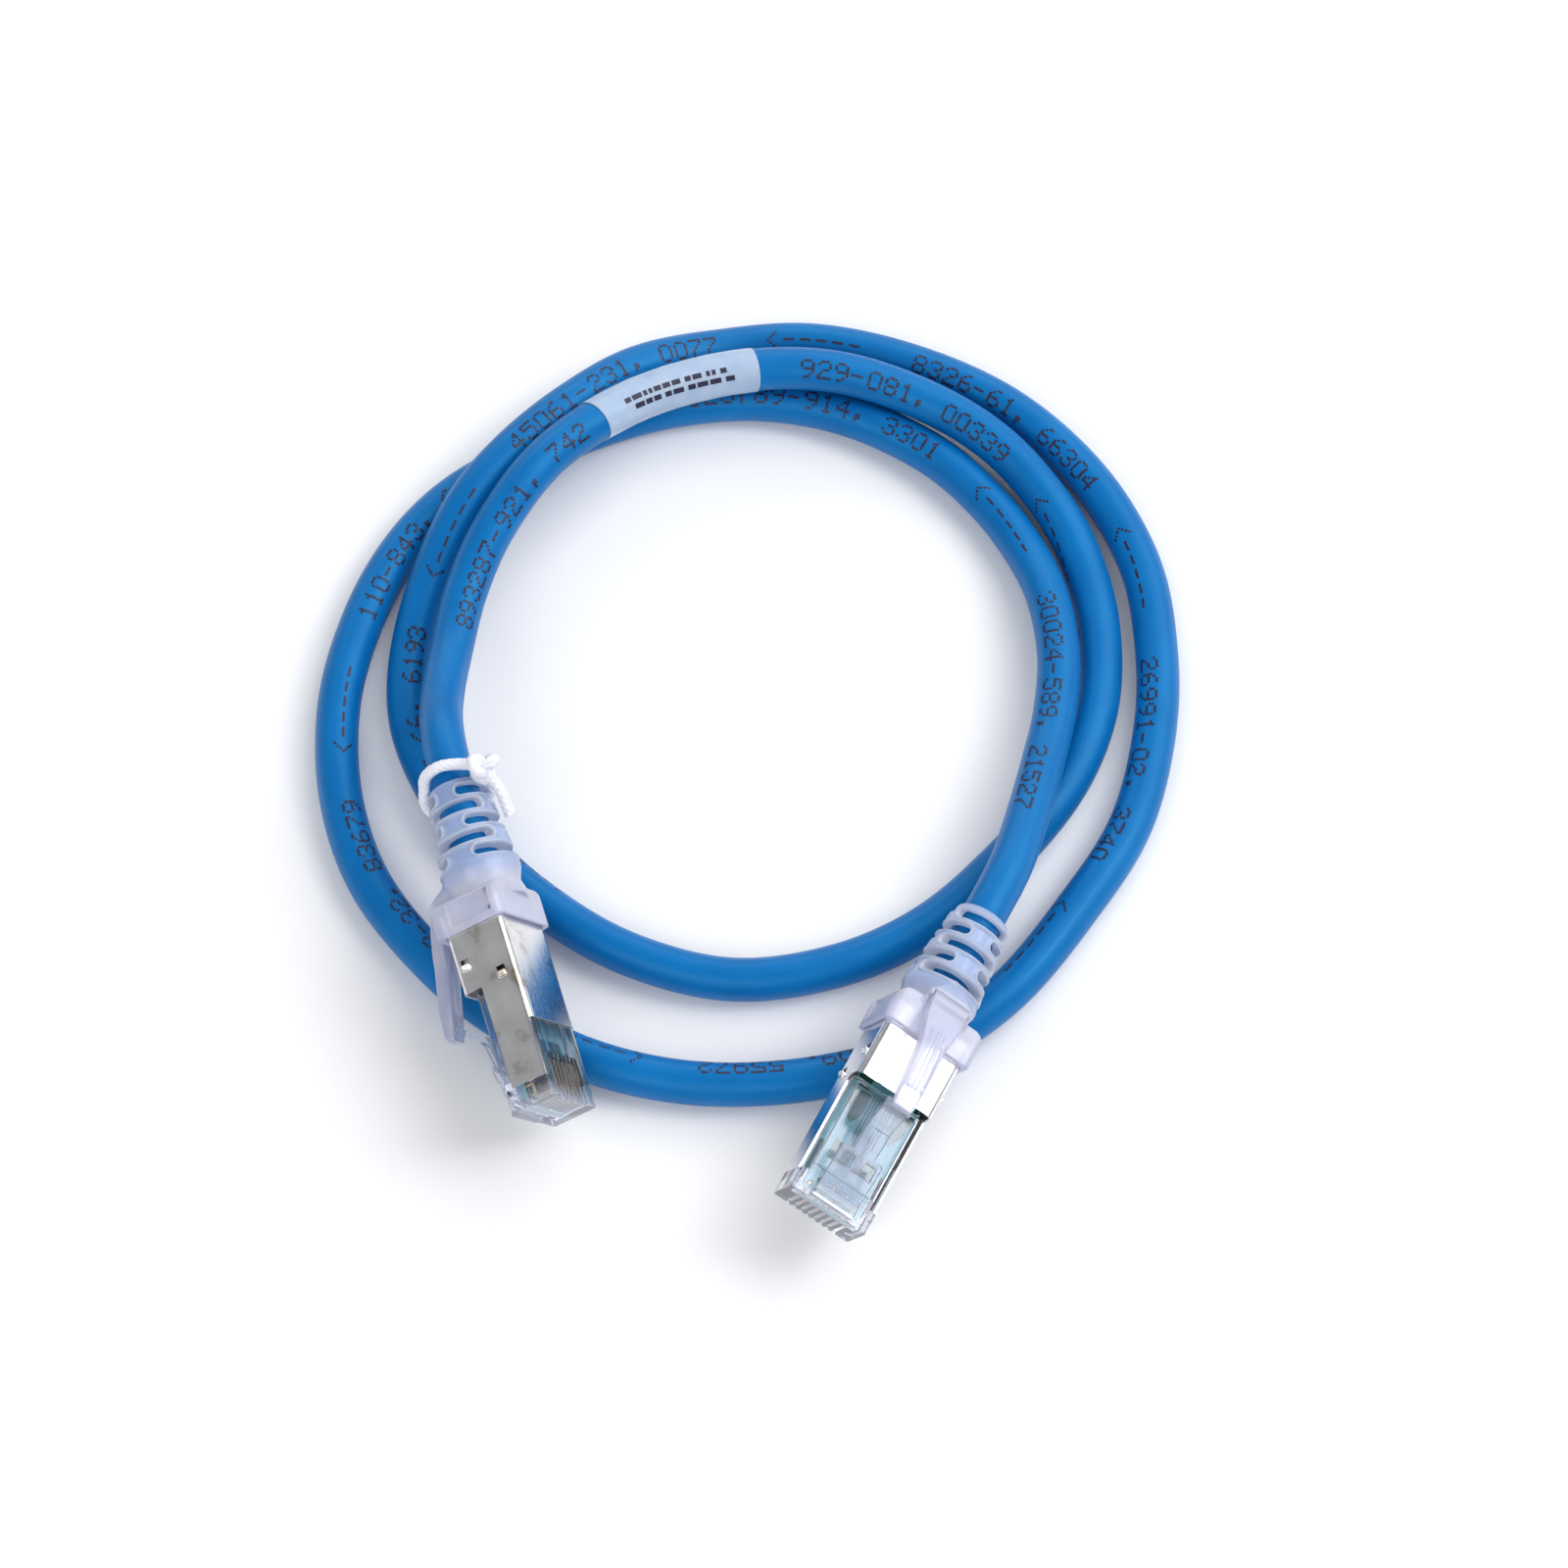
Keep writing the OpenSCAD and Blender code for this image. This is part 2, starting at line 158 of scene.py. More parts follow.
def soften(obj, width, segments=2, angle=35):
    """Rounds the sharp edges and keeps the flats flat."""
    mod = obj.modifiers.new("edges", "BEVEL")
    mod.width = width
    mod.segments = segments
    mod.limit_method = "ANGLE"
    mod.angle_limit = math.radians(angle)
    mod.harden_normals = False
    bake(obj)
    obj.data.polygons.foreach_set("use_smooth", [True] * len(obj.data.polygons))
    mod = obj.modifiers.new("normals", "WEIGHTED_NORMAL")
    mod.keep_sharp = True
    return obj


def join(objects, name):
    verts, faces = [], []
    for obj in objects:
        start = len(verts)
        verts += [tuple(v.co) for v in obj.data.vertices]
        faces += [[start + i for i in p.vertices] for p in obj.data.polygons]
        bpy.data.objects.remove(obj)
    return mesh_object(name, verts, faces)


# ---- fields: distance functions on a grid, for moulded shapes ----
def melt(a, b, k):
    """The union of two fields with a fillet of about k."""
    h = np.clip(0.5 + 0.5 * (b - a) / k, 0, 1)
    return b * (1 - h) + a * h - k * h * (1 - h)


def keep(a, b, k):
    """The intersection of two fields, rounded by about k."""
    return -melt(-a, -b, k)


def rect(u, v, span_u, span_v, r):
    """Distance to a rectangle with round corners."""
    du = np.abs(u - sum(span_u) / 2) - (span_u[1] - span_u[0]) / 2 + r
    dv = np.abs(v - sum(span_v) / 2) - (span_v[1] - span_v[0]) / 2 + r
    out = np.hypot(np.maximum(du, 0), np.maximum(dv, 0))
    return out + np.minimum(np.maximum(du, dv), 0) - r


def outline(u, v, points):
    """Distance to a polygon, negative inside."""
    best = np.full(u.shape, 1e9, np.float32)
    inside = np.zeros(u.shape, bool)
    for (au, av), (bu, bv) in zip(points, points[1:] + points[:1]):
        eu, ev = bu - au, bv - av
        t = np.clip(((u - au) * eu + (v - av) * ev) / (eu * eu + ev * ev), 0, 1)
        best = np.minimum(best, np.hypot(u - au - t * eu, v - av - t * ev))
        if ev:
            over = (av > v) != (bv > v)
            inside ^= over & (u < eu * (v - av) / ev + au)
    return np.where(inside, -best, best)


def moulded(name, lo, hi, step, field):
    """The surface where the field is zero, as a smooth mesh."""
    axes = [np.arange(a - 2 * step, b + 3 * step, step, dtype=np.float32)
            for a, b in zip(lo, hi)]
    values = field(*np.meshgrid(*axes, indexing="ij"))
    grid = openvdb.FloatGrid(1.0)
    grid.copyFromArray(np.clip(values, -1, 1).astype(np.float32))
    points, quads = grid.convertToQuads(0.0)
    start = np.array([a[0] for a in axes])
    mesh = bpy.data.meshes.new(name)
    mesh.from_pydata((points * step + start).tolist(), [], quads.tolist())
    mesh.validate()
    mesh.update()
    mesh.polygons.foreach_set("use_smooth", [True] * len(mesh.polygons))
    obj = bpy.data.objects.new(name, mesh)
    scene.collection.objects.link(obj)
    return outward(obj)


# ---- materials ----
def material(name, base, rough, **sockets):
    mat = bpy.data.materials.new(name)
    mat.use_nodes = True
    shader = mat.node_tree.nodes["Principled BSDF"]
    shader.inputs["Base Color"].default_value = (*base, 1)
    shader.inputs["Roughness"].default_value = rough
    for key, value in sockets.items():
        shader.inputs[key.replace("_", " ")].default_value = value
    return mat


def add(mat, kind, **values):
    node = mat.node_tree.nodes.new(kind)
    for key, value in values.items():
        if key in node.inputs.keys():
            node.inputs[key].default_value = value
        else:
            setattr(node, key, value)
    return node


def link(mat, source, out, target, socket):
    mat.node_tree.links.new(source.outputs[out], target.inputs[socket])


def shader_of(mat):
    return mat.node_tree.nodes["Principled BSDF"]


def attribute(mat, name):
    return add(mat, "ShaderNodeAttribute", attribute_name=name)


def noise(mat, where, scale, detail=3.0, stretch=(1, 1, 1)):
    mapping = add(mat, "ShaderNodeMapping")
    mapping.inputs["Scale"].default_value = [scale * s for s in stretch]
    link(mat, where, "Vector", mapping, "Vector")
    node = add(mat, "ShaderNodeTexNoise", Scale=1.0, Detail=detail)
    link(mat, mapping, "Vector", node, "Vector")
    return node


def ramp(mat, source, out, stops):
    node = add(mat, "ShaderNodeValToRGB")
    while len(node.color_ramp.elements) < len(stops):
        node.color_ramp.elements.new(0.5)
    for element, (at, colour) in zip(node.color_ramp.elements, stops):
        element.position = at
        element.color = (*colour, 1)
    link(mat, source, out, node, "Fac")
    return node


def drive(mat, source, out, stops, socket="Base Color"):
    """Sets one socket of the shader from a ramp over an output."""
    link(mat, ramp(mat, source, out, stops), "Color", shader_of(mat), socket)


def split_axes(mat, source):
    node = add(mat, "ShaderNodeSeparateXYZ")
    link(mat, source, "Vector", node, "Vector")
    return node


def bumpy(mat, source, out, distance, strength=1.0):
    node = add(mat, "ShaderNodeBump", Strength=strength, Distance=distance)
    link(mat, source, out, node, "Height")
    link(mat, node, "Normal", shader_of(mat), "Normal")


def mixed(mat, source, out, under, colour, most):
    """Lays a colour over another, as strongly as one output says."""
    amount = add(mat, "ShaderNodeMath", operation="MULTIPLY")
    link(mat, source, out, amount, 0)
    amount.inputs[1].default_value = most
    node = add(mat, "ShaderNodeMixRGB", Color2=(*colour, 1))
    link(mat, amount, "Value", node, "Fac")
    link(mat, under, "Color", node, "Color1")
    return node


def grey(low, high):
    return [(0.25, (low,) * 3), (0.75, (high,) * 3)]


def jacket_material():
    mat = material("blue_jacket", (0.001, 0.13, 0.4), 0.42,
                   Specular_Tint=(0.25, 0.75, 1.0, 1.0))
    lay = attribute(mat, "lay")
    blotch = noise(mat, lay, 1.0, 4, (0.7, 0.7, 0.12))
    drive(mat, blotch, "Fac", [(0.3, (0.0005, 0.122, 0.38)), (0.7, (0.001, 0.148, 0.44))])
    streak = noise(mat, lay, 1.0, 3, (5, 5, 0.06))
    drive(mat, streak, "Fac", grey(0.34, 0.5), "Roughness")
    grain = noise(mat, lay, 1.0, 4, (9, 9, 1.6))
    bumpy(mat, grain, "Fac", 0.00004, 0.35)
    return mat


NOSE_FROM, NOSE_TO = -2.2, -0.8
NOSE_CLEARNESS = 0.82


def clear_material(name, rough, body):
    """Clear plastic: body is how clear it is behind the solid nose."""
    mat = material(name, (0.86, 0.9, 1.0), rough, IOR=1.4, Transmission_Weight=0.93,
                   Specular_IOR_Level=0.3)
    loc = attribute(mat, "loc")
    haze = noise(mat, loc, 0.9, 4)
    drive(mat, haze, "Fac", grey(rough * 0.3, rough), "Roughness")
    near_nose = add(mat, "ShaderNodeMapRange")
    near_nose.inputs["From Min"].default_value = NOSE_FROM
    near_nose.inputs["From Max"].default_value = NOSE_TO
    link(mat, split_axes(mat, loc), "X", near_nose, "Value")
    stops = [(0.0, (body,) * 3), (1.0, (NOSE_CLEARNESS,) * 3)]
    drive(mat, near_nose, "Result", stops, "Transmission Weight")
    return mat


def frosted_material(name, clearness, rough):
    """A milky translucent moulding: bluer over the cable, and paler at each slot's rim, where a
    highlight is painted into the colour.
    """
    mat = material(name, (0.92, 0.92, 1.0), rough, IOR=1.42, Transmission_Weight=clearness,
                   Coat_Weight=0.4, Coat_Roughness=0.15)
    loc = attribute(mat, "loc")
    cloud = noise(mat, loc, 0.4, 3)
    milk = ramp(mat, cloud, "Fac", [(0.3, (0.78, 0.8, 1.0)), (0.7, (0.88, 0.89, 1.0))])
    tone = split_axes(mat, attribute(mat, "tone"))
    over_cable = mixed(mat, tone, "Y", milk, (0.42, 0.62, 1.0), 0.7)
    # painted highlight: the base colour is made paler near the rim of each slot
    rim_highlight = mixed(mat, tone, "X", over_cable, (0.94, 0.95, 1.0), 0.8)
    link(mat, rim_highlight, "Color", shader_of(mat), "Base Color")
    drive(mat, noise(mat, loc, 0.9, 2), "Fac", grey(rough * 0.85, rough * 1.2), "Roughness")
    return mat


# Plated sheet: end a's is finger-marked, and what it mirrors is tilted by its lean
NICKEL_LOOKS = {
    "a": {
        "smudge": 0.22, "rough": (0.1, 0.26), "lean": 8.5,
        "stops": [(0.32, (0.46, 0.4, 0.33)), (0.42, (0.74, 0.73, 0.71)), (0.7, (0.88, 0.88, 0.87))],
    },
    "b": {
        "smudge": 0.16, "rough": (0.1, 0.24), "lean": 0.0,
        "stops": [(0.3, (0.7, 0.69, 0.7)), (0.5, (0.84, 0.83, 0.85)), (0.75, (0.9, 0.9, 0.92))],
    },
}


def nickel_material(end):
    look = NICKEL_LOOKS[end]
    mat = material("nickel_" + end, (0.6, 0.59, 0.57), 0.25, Metallic=1.0)
    loc = attribute(mat, "loc")
    drive(mat, noise(mat, loc, look["smudge"], 4), "Fac", look["stops"])
    drive(mat, noise(mat, loc, 2.2, 7), "Fac", grey(*look["rough"]), "Roughness")
    grain = noise(mat, loc, 1.0, 3, (0.4, 7, 7))
    lean = add(mat, "ShaderNodeMath", operation="MULTIPLY_ADD")
    link(mat, split_axes(mat, loc), "Y", lean, 0)
    lean.inputs[1].default_value = look["lean"]
    link(mat, grain, "Fac", lean, 2)
    bumpy(mat, lean, "Value", 0.00001)
    return mat


def gold_material():
    mat = material("gold", (0.9, 0.65, 0.32), 0.36, Metallic=0.7)
    loc = attribute(mat, "loc")
    wear = noise(mat, loc, 1.4, 4)
    drive(mat, wear, "Fac", [(0.3, (0.84, 0.58, 0.28)), (0.7, (0.96, 0.78, 0.48))])
    bumpy(mat, noise(mat, loc, 6.0, 2), "Fac", 0.00001, 0.4)
    return mat


def board_material():
    mat = material("solder_mask", (0.2, 0.5, 0.5), 0.25, Coat_Weight=0.5)
    loc = attribute(mat, "loc")
    weave = add(mat, "ShaderNodeTexWave", Scale=3.0, Distortion=0.6)
    link(mat, loc, "Vector", weave, "Vector")
    drive(mat, weave, "Fac", [(0.2, (0.15, 0.44, 0.45)), (0.8, (0.25, 0.58, 0.58))])
    bumpy(mat, weave, "Fac", 0.00002, 0.3)
    return mat


def copper_material():
    mat = material("copper_pour", (0.004, 0.13, 0.075), 0.25, Coat_Weight=0.5)
    loc = attribute(mat, "loc")
    cloud = noise(mat, loc, 1.5, 3)
    drive(mat, cloud, "Fac", [(0.3, (0.002, 0.075, 0.04)), (0.7, (0.006, 0.13, 0.075))])
    bumpy(mat, cloud, "Fac", 0.00001, 0.3)
    return mat


def elastic_material():
    mat = material("elastic", (0.87, 0.88, 0.95), 0.6, Sheen_Weight=0.3)
    lay = attribute(mat, "lay")
    thread = add(mat, "ShaderNodeTexWave", Scale=7.0, Distortion=0.8)
    link(mat, lay, "Vector", thread, "Vector")
    drive(mat, thread, "Fac", [(0.1, (0.7, 0.72, 0.84)), (0.6, (0.93, 0.93, 0.97))])
    bumpy(mat, noise(mat, lay, 6.0, 4), "Fac", 0.00005, 0.5)
    return mat


def film_material():
    mat = material("label_film", (0.8, 0.86, 0.97), 0.18, Transmission_Weight=0.5, IOR=1.25)
    lay = attribute(mat, "lay")
    cloud = noise(mat, lay, 1.0, 4, (1, 1, 0.4))
    drive(mat, cloud, "Fac", [(0.3, (0.58, 0.75, 0.98)), (0.7, (0.74, 0.86, 1.0))])
    bumpy(mat, cloud, "Fac", 0.00006, 0.5)
    return mat


def ink_material():
    mat = material("ink", (0.008, 0.006, 0.03), 0.5)
    spot = noise(mat, attribute(mat, "loc"), 2.0, 3)
    drive(mat, spot, "Fac", [(0.3, (0.004, 0.004, 0.022)), (0.7, (0.014, 0.012, 0.055))])
    return mat


MOTTLE_SCALE = 900


def object_mapping(mat, scale):
    """Object space, for the CAD nodes that stay: they have no attributes of their own."""
    where = add(mat, "ShaderNodeTexCoord")
    mapping = add(mat, "ShaderNodeMapping")
    mapping.inputs["Scale"].default_value = (scale,) * 3
    link(mat, where, "Object", mapping, "Vector")
    return mapping


def mottle(mat, base):
    node = add(mat, "ShaderNodeTexNoise", Scale=1.0, Detail=3.0)
    link(mat, object_mapping(mat, MOTTLE_SCALE), "Vector", node, "Vector")
    drive(mat, node, "Fac", [(0.3, tuple(0.8 * c for c in base)), (0.7, base)])
    return node


def insulation_material(name, base):
    mat = material(name, base, 0.4)
    bumpy(mat, mottle(mat, base), "Fac", 0.00003, 0.4)
    return mat


def metal_mesh_material(name, base, rough, scale):
    mat = material(name, base, rough, Metallic=1.0)
    mottle(mat, base)
    cells = add(mat, "ShaderNodeTexVoronoi", Scale=1.0)
    link(mat, object_mapping(mat, scale), "Vector", cells, "Vector")
    bumpy(mat, cells, "Distance", 0.0001, 0.8)
    return mat


JACKET = jacket_material()
CLEAR = clear_material("clear_housing", 0.035, 0.97)
CLEAR_LATCH = clear_material("clear_latch", 0.05, 0.82)
FROSTED = frosted_material("frosted_boot", 0.55, 0.36)
FROSTED_ARM = frosted_material("frosted_guard", 0.68, 0.35)
NICKEL = {end: nickel_material(end) for end in ENDS}
GOLD = gold_material()
BOARD = board_material()
COPPER = copper_material()
ELASTIC = elastic_material()
FILM = film_material()
INK = ink_material()


# ---- lines along the cord ----
CABLE_OD = 5.8
JACKET_END_X = -34
BOOT_END_X = -46.3
# [x, y, lift], as in part.scad: from plug b round the coil to plug a. The lift is how far the
# cord is above the table, in cable diameters
ROUTE = [
    (34.5, -29.5, 1.72), (37, -21, 1.38), (39.2, -12, 1), (41, -3.5, 0.75), (41.7, 5.5, 0.62),
    (40.5, 15, 0.4), (37.5, 23.5, 0.1), (32.5, 31.5, 0), (25, 39, 0), (14, 45, 0), (2, 47.5, 0),
    (-10, 46.5, 0), (-21, 43, 0), (-32, 37.5, 0), (-41, 31, 0), (-47.5, 22.5, 0), (-52, 12, 0),
    (-54.5, 0, 0), (-54, -13, 0), (-50.5, -25, 0), (-44, -35, 0), (-34, -45, 0), (-21, -52.5, 0),
    (-7, -56, 0), (8, -55.5, 0), (22, -51.5, 0), (34, -43, 0), (44, -30, 0), (51, -18, 0),
    (54.5, -4, 0), (55, 9, 0), (53, 22, 0), (46.5, 35, 0), (36, 46, 0), (23, 53, 0), (9, 56.5, 0),
    (-4, 55.2, 0.1), (-15, 50.8, 0.6), (-24, 43.5, 1), (-32, 35.5, 1.1), (-38, 27.5, 0.95),
    (-42.5, 18, 0.4), (-45, 8, 0), (-45, -2, 0), (-42, -11, 0), (-36.5, -20, 0), (-28, -29, 0),
    (-16, -37, 0), (-2, -41, 0), (12, -39, 0), (24, -33, 0), (34, -23.5, 0), (42, -13, 0),
    (46.5, -2, 0), (47.5, 9, 0), (46, 19.5, 0), (42, 29, 0.2), (34.5, 38.5, 0.42),
    (25, 45, 0.58), (13, 48.5, 0.95), (1, 48.5, 1.1), (-11, 45, 1.25), (-20.5, 39, 1.5),
    (-28, 31.5, 1.65), (-34, 22.5, 1.4), (-37.5, 14, 1.1), (-39.3, 5, 1.1), (-40.2, -4, 1.6),
    (-39.8, -11.5, 2.2),
]
LABEL_FROM, LABEL_TO = 60, 62


def on_plug(end, x, y=0, z=0):
    """A point of a plug's own frame, in millimetres of the row frame."""
    return np.array(POSES[end] @ Vector((x, y, z))) / MM


def smooth_line(points, spacing):
    """A Catmull-Rom line through the points, then evened out to one spacing."""
    p = np.array(points, float)
    p = np.vstack([2 * p[0] - p[1], p, 2 * p[-1] - p[-2]])
    t = np.linspace(0, 1, 24, endpoint=False)[:, None]
    runs = []
    for a, b, c, d in zip(p, p[1:], p[2:], p[3:]):
        runs.append(0.5 * (2 * b + (c - a) * t + (2 * a - 5 * b + 4 * c - d) * t**2
                           + (3 * b - a - 3 * c + d) * t**3))
    line = np.vstack(runs + [p[-2:-1]])
    reach = np.concatenate([[0], np.cumsum(np.linalg.norm(np.diff(line, axis=0), axis=1))])
    even = np.linspace(0, reach[-1], int(reach[-1] / spacing) + 1)
    return np.column_stack([np.interp(even, reach, line[:, i]) for i in range(3)])


def frames(line, above=(0, 0, 1)):
    """Unit heading, side and up vectors at each point of a line."""
    t = np.gradient(line, axis=0)
    t /= np.linalg.norm(t, axis=1)[:, None]
    side = np.cross(t, above)
    side /= np.linalg.norm(side, axis=1)[:, None]
    return t, side, np.cross(side, t)


def drifting_frames(line):
    """As frames, for a line that turns any way: the side vector is carried along."""
    t = np.gradient(line, axis=0)
    t /= np.linalg.norm(t, axis=1)[:, None]
    side = [np.cross(t[0], (0.3, 0.2, 1))]
    for heading in t[1:]:
        last = side[-1]
        side.append(last - heading * last.dot(heading))
    side = np.array([s / np.linalg.norm(s) for s in side])
    return t, side, np.cross(side, t)


def tube(name, line, radius, sides, vectors=None):
    """A swept tube with closed ends. radius is a function of angle and length along it."""
    _, side, up = vectors or frames(line)
    steps = np.linalg.norm(np.diff(line, axis=0), axis=1)
    reach = np.concatenate([[0], np.cumsum(steps)])[:, None]
    a = 2 * np.pi * np.arange(sides)[None, :] / sides
    r = radius(a, reach)
    spread = np.cos(a)[..., None] * up[:, None] + np.sin(a)[..., None] * side[:, None]
    verts = (line[:, None] + r[..., None] * spread).reshape(-1, 3)
    faces = []
    for i in range(len(line) - 1):
        for k in range(sides):
            j = (k + 1) % sides
            faces.append((i * sides + k, (i + 1) * sides + k,
                          (i + 1) * sides + j, i * sides + j))
    last = (len(line) - 1) * sides
    faces += [list(range(sides)), [last + k for k in range(sides - 1, -1, -1)]]
    obj = outward(mesh_object(name, verts, faces, True))
    spot = np.column_stack([np.tile(np.cos(a[0]), len(line)), np.tile(np.sin(a[0]), len(line)),
                            np.repeat(reach[:, 0], sides)])
    write_attribute(obj, "lay", spot)
    return obj


def write_attribute(obj, name, values):
    layer = obj.data.attributes.new(name, "FLOAT_VECTOR", "POINT")
    layer.data.foreach_set("vector", np.asarray(values, np.float32).ravel())


def note_place(obj):
    """Keeps each vertex's place in millimetres for the materials."""
    place = np.empty(len(obj.data.vertices) * 3, np.float32)
    obj.data.vertices.foreach_get("co", place)
    write_attribute(obj, "loc", place)
    return obj


def finish_piece(obj, mat, body, replaced=(), matrix=None):
    """Moves a piece from millimetres to its place, gives it its material and body, and hides the
    CAD parts it stands for.
    """
    obj.data.transform(matrix or Matrix.Scale(MM, 4))
    obj.data.materials.clear()
    obj.data.materials.append(mat)
    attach(obj, body)
    if replaced:
        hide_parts(*replaced)
    return obj


# The cord runs straight inside each boot, through these places on the plug's axis
STRAIGHT_X = (JACKET_END_X, BOOT_END_X + 6, BOOT_END_X)
path = [on_plug("b", x) for x in STRAIGHT_X]
path += [(x, y, CABLE_OD * (0.5 + lift)) for x, y, lift in ROUTE]
path += [on_plug("a", x) for x in reversed(STRAIGHT_X)]
cable_line = smooth_line(path, 1.0)
cable_line[:, 2] = np.maximum(cable_line[:, 2], CABLE_OD / 2)
cable_reach = np.concatenate(
    [[0], np.cumsum(np.linalg.norm(np.diff(cable_line, axis=0), axis=1))])


def jacket_radius(a, reach):
    """A drawn jacket: nearly round, with a faint seam line and slow waver."""
    seam = 0.018 * np.exp(-((np.sin((a - 2.2 - reach / 260) / 2)) / 0.03) ** 2)
    waver = 0.012 * np.sin(3 * a + reach / 31) + 0.008 * np.sin(2 * a - reach / 17)
    return CABLE_OD / 2 + seam + waver


jacket = tube("jacket", cable_line, jacket_radius, 40)

# ---- the printed legend: generic digits and dashes in dots ----
GLYPHS = {
    "0": ".###. #...# #...# #...# #...# #...# .###.",
    "1": "..#.. .##.. ..#.. ..#.. ..#.. ..#.. .###.",
    "2": ".###. #...# ....# ..##. .#... #.... #####",
    "3": ".###. #...# ....# ..##. ....# #...# .###.",
    "4": "...#. ..##. .#.#. #..#. ##### ...#. ...#.",
    "5": "##### #.... ####. ....# ....# #...# .###.",
    "6": "..##. .#... #.... ####. #...# #...# .###.",
    "7": "##### ....# ...#. ..#.. .#... .#... .#...",
    "8": ".###. #...# #...# .###. #...# #...# .###.",
    "9": ".###. #...# #...# .#### ....# ...#. .##..",
    "-": "..... ..... ..... ####. ..... ..... .....",
    ",": "..... ..... ..... ..... .##.. .##.. .#...",
    "<": "...#. ..#.. .#... #.... .#... ..#.. ...#.",
    " ": "..... ..... ..... ..... ..... ..... .....",
}
DOT_PITCH = 0.385
DOT_R = 0.215
DOT_DEPTH = 0.05
DOT_SIDES = 8
INK_LIFT = 0.02
CELL = 6.1 * DOT_PITCH
LEGEND_START, LEGEND_STOP = 22, 18
LEGEND_CHARACTERS = 340
# How far the legend stays from the label before and after it
LABEL_MARGINS = (3, 1)
dice = random.Random(11)


def legend_text(length):
    text = ""
    while len(text) < length:
        groups = [dice.choice([3, 4, 5, 6]), dice.choice([2, 3]), dice.choice([4, 5])]
        words = ["".join(dice.choice("0123456789") for _ in range(n)) for n in groups]
        text += words[0] + "-" + words[1] + ", " + words[2] + "   <-----   "
    return text[:length]


def legend_angle(s):
    """Where the legend's middle sits round the jacket, from up towards the side.

    It wavers, and about 640 mm along the twist of the cord takes it round underneath.
    """
    underneath = math.exp(-((s - 640) / 60) ** 4)
    return math.radians(-22 + 9 * math.sin(s / 70)) + math.radians(-120) * underneath


heading, side, up = frames(cable_line)


def at_reach(s):
    """Point, heading, side and up of the cord at a length from plug b."""
    return [np.array([np.interp(s, cable_reach, m[:, i]) for i in range(3)])
            for m in (cable_line, heading, side, up)]


def dots(name, marks):
    """Small raised discs on the jacket at (length, angle) marks."""
    skin = CABLE_OD / 2
    verts, faces = [], []
    for s, a in marks:
        p, t, sd, u = at_reach(s)
        normal = math.cos(a) * u + math.sin(a) * sd
        across = -math.sin(a) * u + math.cos(a) * sd
        top = p + (skin + INK_LIFT) * normal
        first = len(verts)
        under = first + DOT_SIDES
        wide = DOT_R * (1 + 0.1 * math.sin(7 * s + 3 * a))
        for depth in (0.0, -DOT_DEPTH):
            for k in range(DOT_SIDES):
                angle = 2 * math.pi * k / DOT_SIDES
                c, d = math.cos(angle), math.sin(angle)
                fall = -(wide * d) ** 2 / (2 * skin)
                verts.append(top + wide * (c * t + d * across) + (depth + fall) * normal)
        faces.append([first + k for k in range(DOT_SIDES)])
        faces.append([under + k for k in range(DOT_SIDES - 1, -1, -1)])
        for k in range(DOT_SIDES):
            j = (k + 1) % DOT_SIDES
            faces.append([first + j, first + k, under + k, under + j])
    return outward(mesh_object(name, verts, faces, False))


def reach_of(place):
    """The length along the cord at which it passes a place."""
    return cable_reach[np.argmin(np.linalg.norm(cable_line - np.array(place), axis=1))]


label_s = [reach_of(path[len(STRAIGHT_X) + i]) for i in (LABEL_FROM, LABEL_TO)]
marks = []
for index, character in enumerate(reversed(legend_text(LEGEND_CHARACTERS))):
    s0 = LEGEND_START + index * CELL
    if label_s[0] - LABEL_MARGINS[0] < s0 < label_s[1] + LABEL_MARGINS[1]:
        continue
    if s0 > cable_reach[-1] - LEGEND_STOP:
        continue
    for row, line in enumerate(GLYPHS[character].split()):
        for column, ink in enumerate(line):
            if ink == "#":
                s = s0 + (4 - column) * DOT_PITCH
                a = legend_angle(s) + (3 - row) * DOT_PITCH / (CABLE_OD / 2)
                marks.append((s + dice.uniform(-0.03, 0.03), a + dice.uniform(-0.01, 0.01)))
legend = note_place(dots("legend", marks))

# ---- the wrap-around label, a film that laps over itself ----
LABEL_SKIN = CABLE_OD / 2 + 0.05
LABEL_FILM = 0.085
LABEL_SEAM = 1.9
LABEL_OVERLAP = 0.35
LAP_LIFT = 0.12
BAR_ROWS = (-0.78, -0.38)
BAR_HALF_ANGLE = 0.115
BAR_LIFTS = (0.16, 0.1)


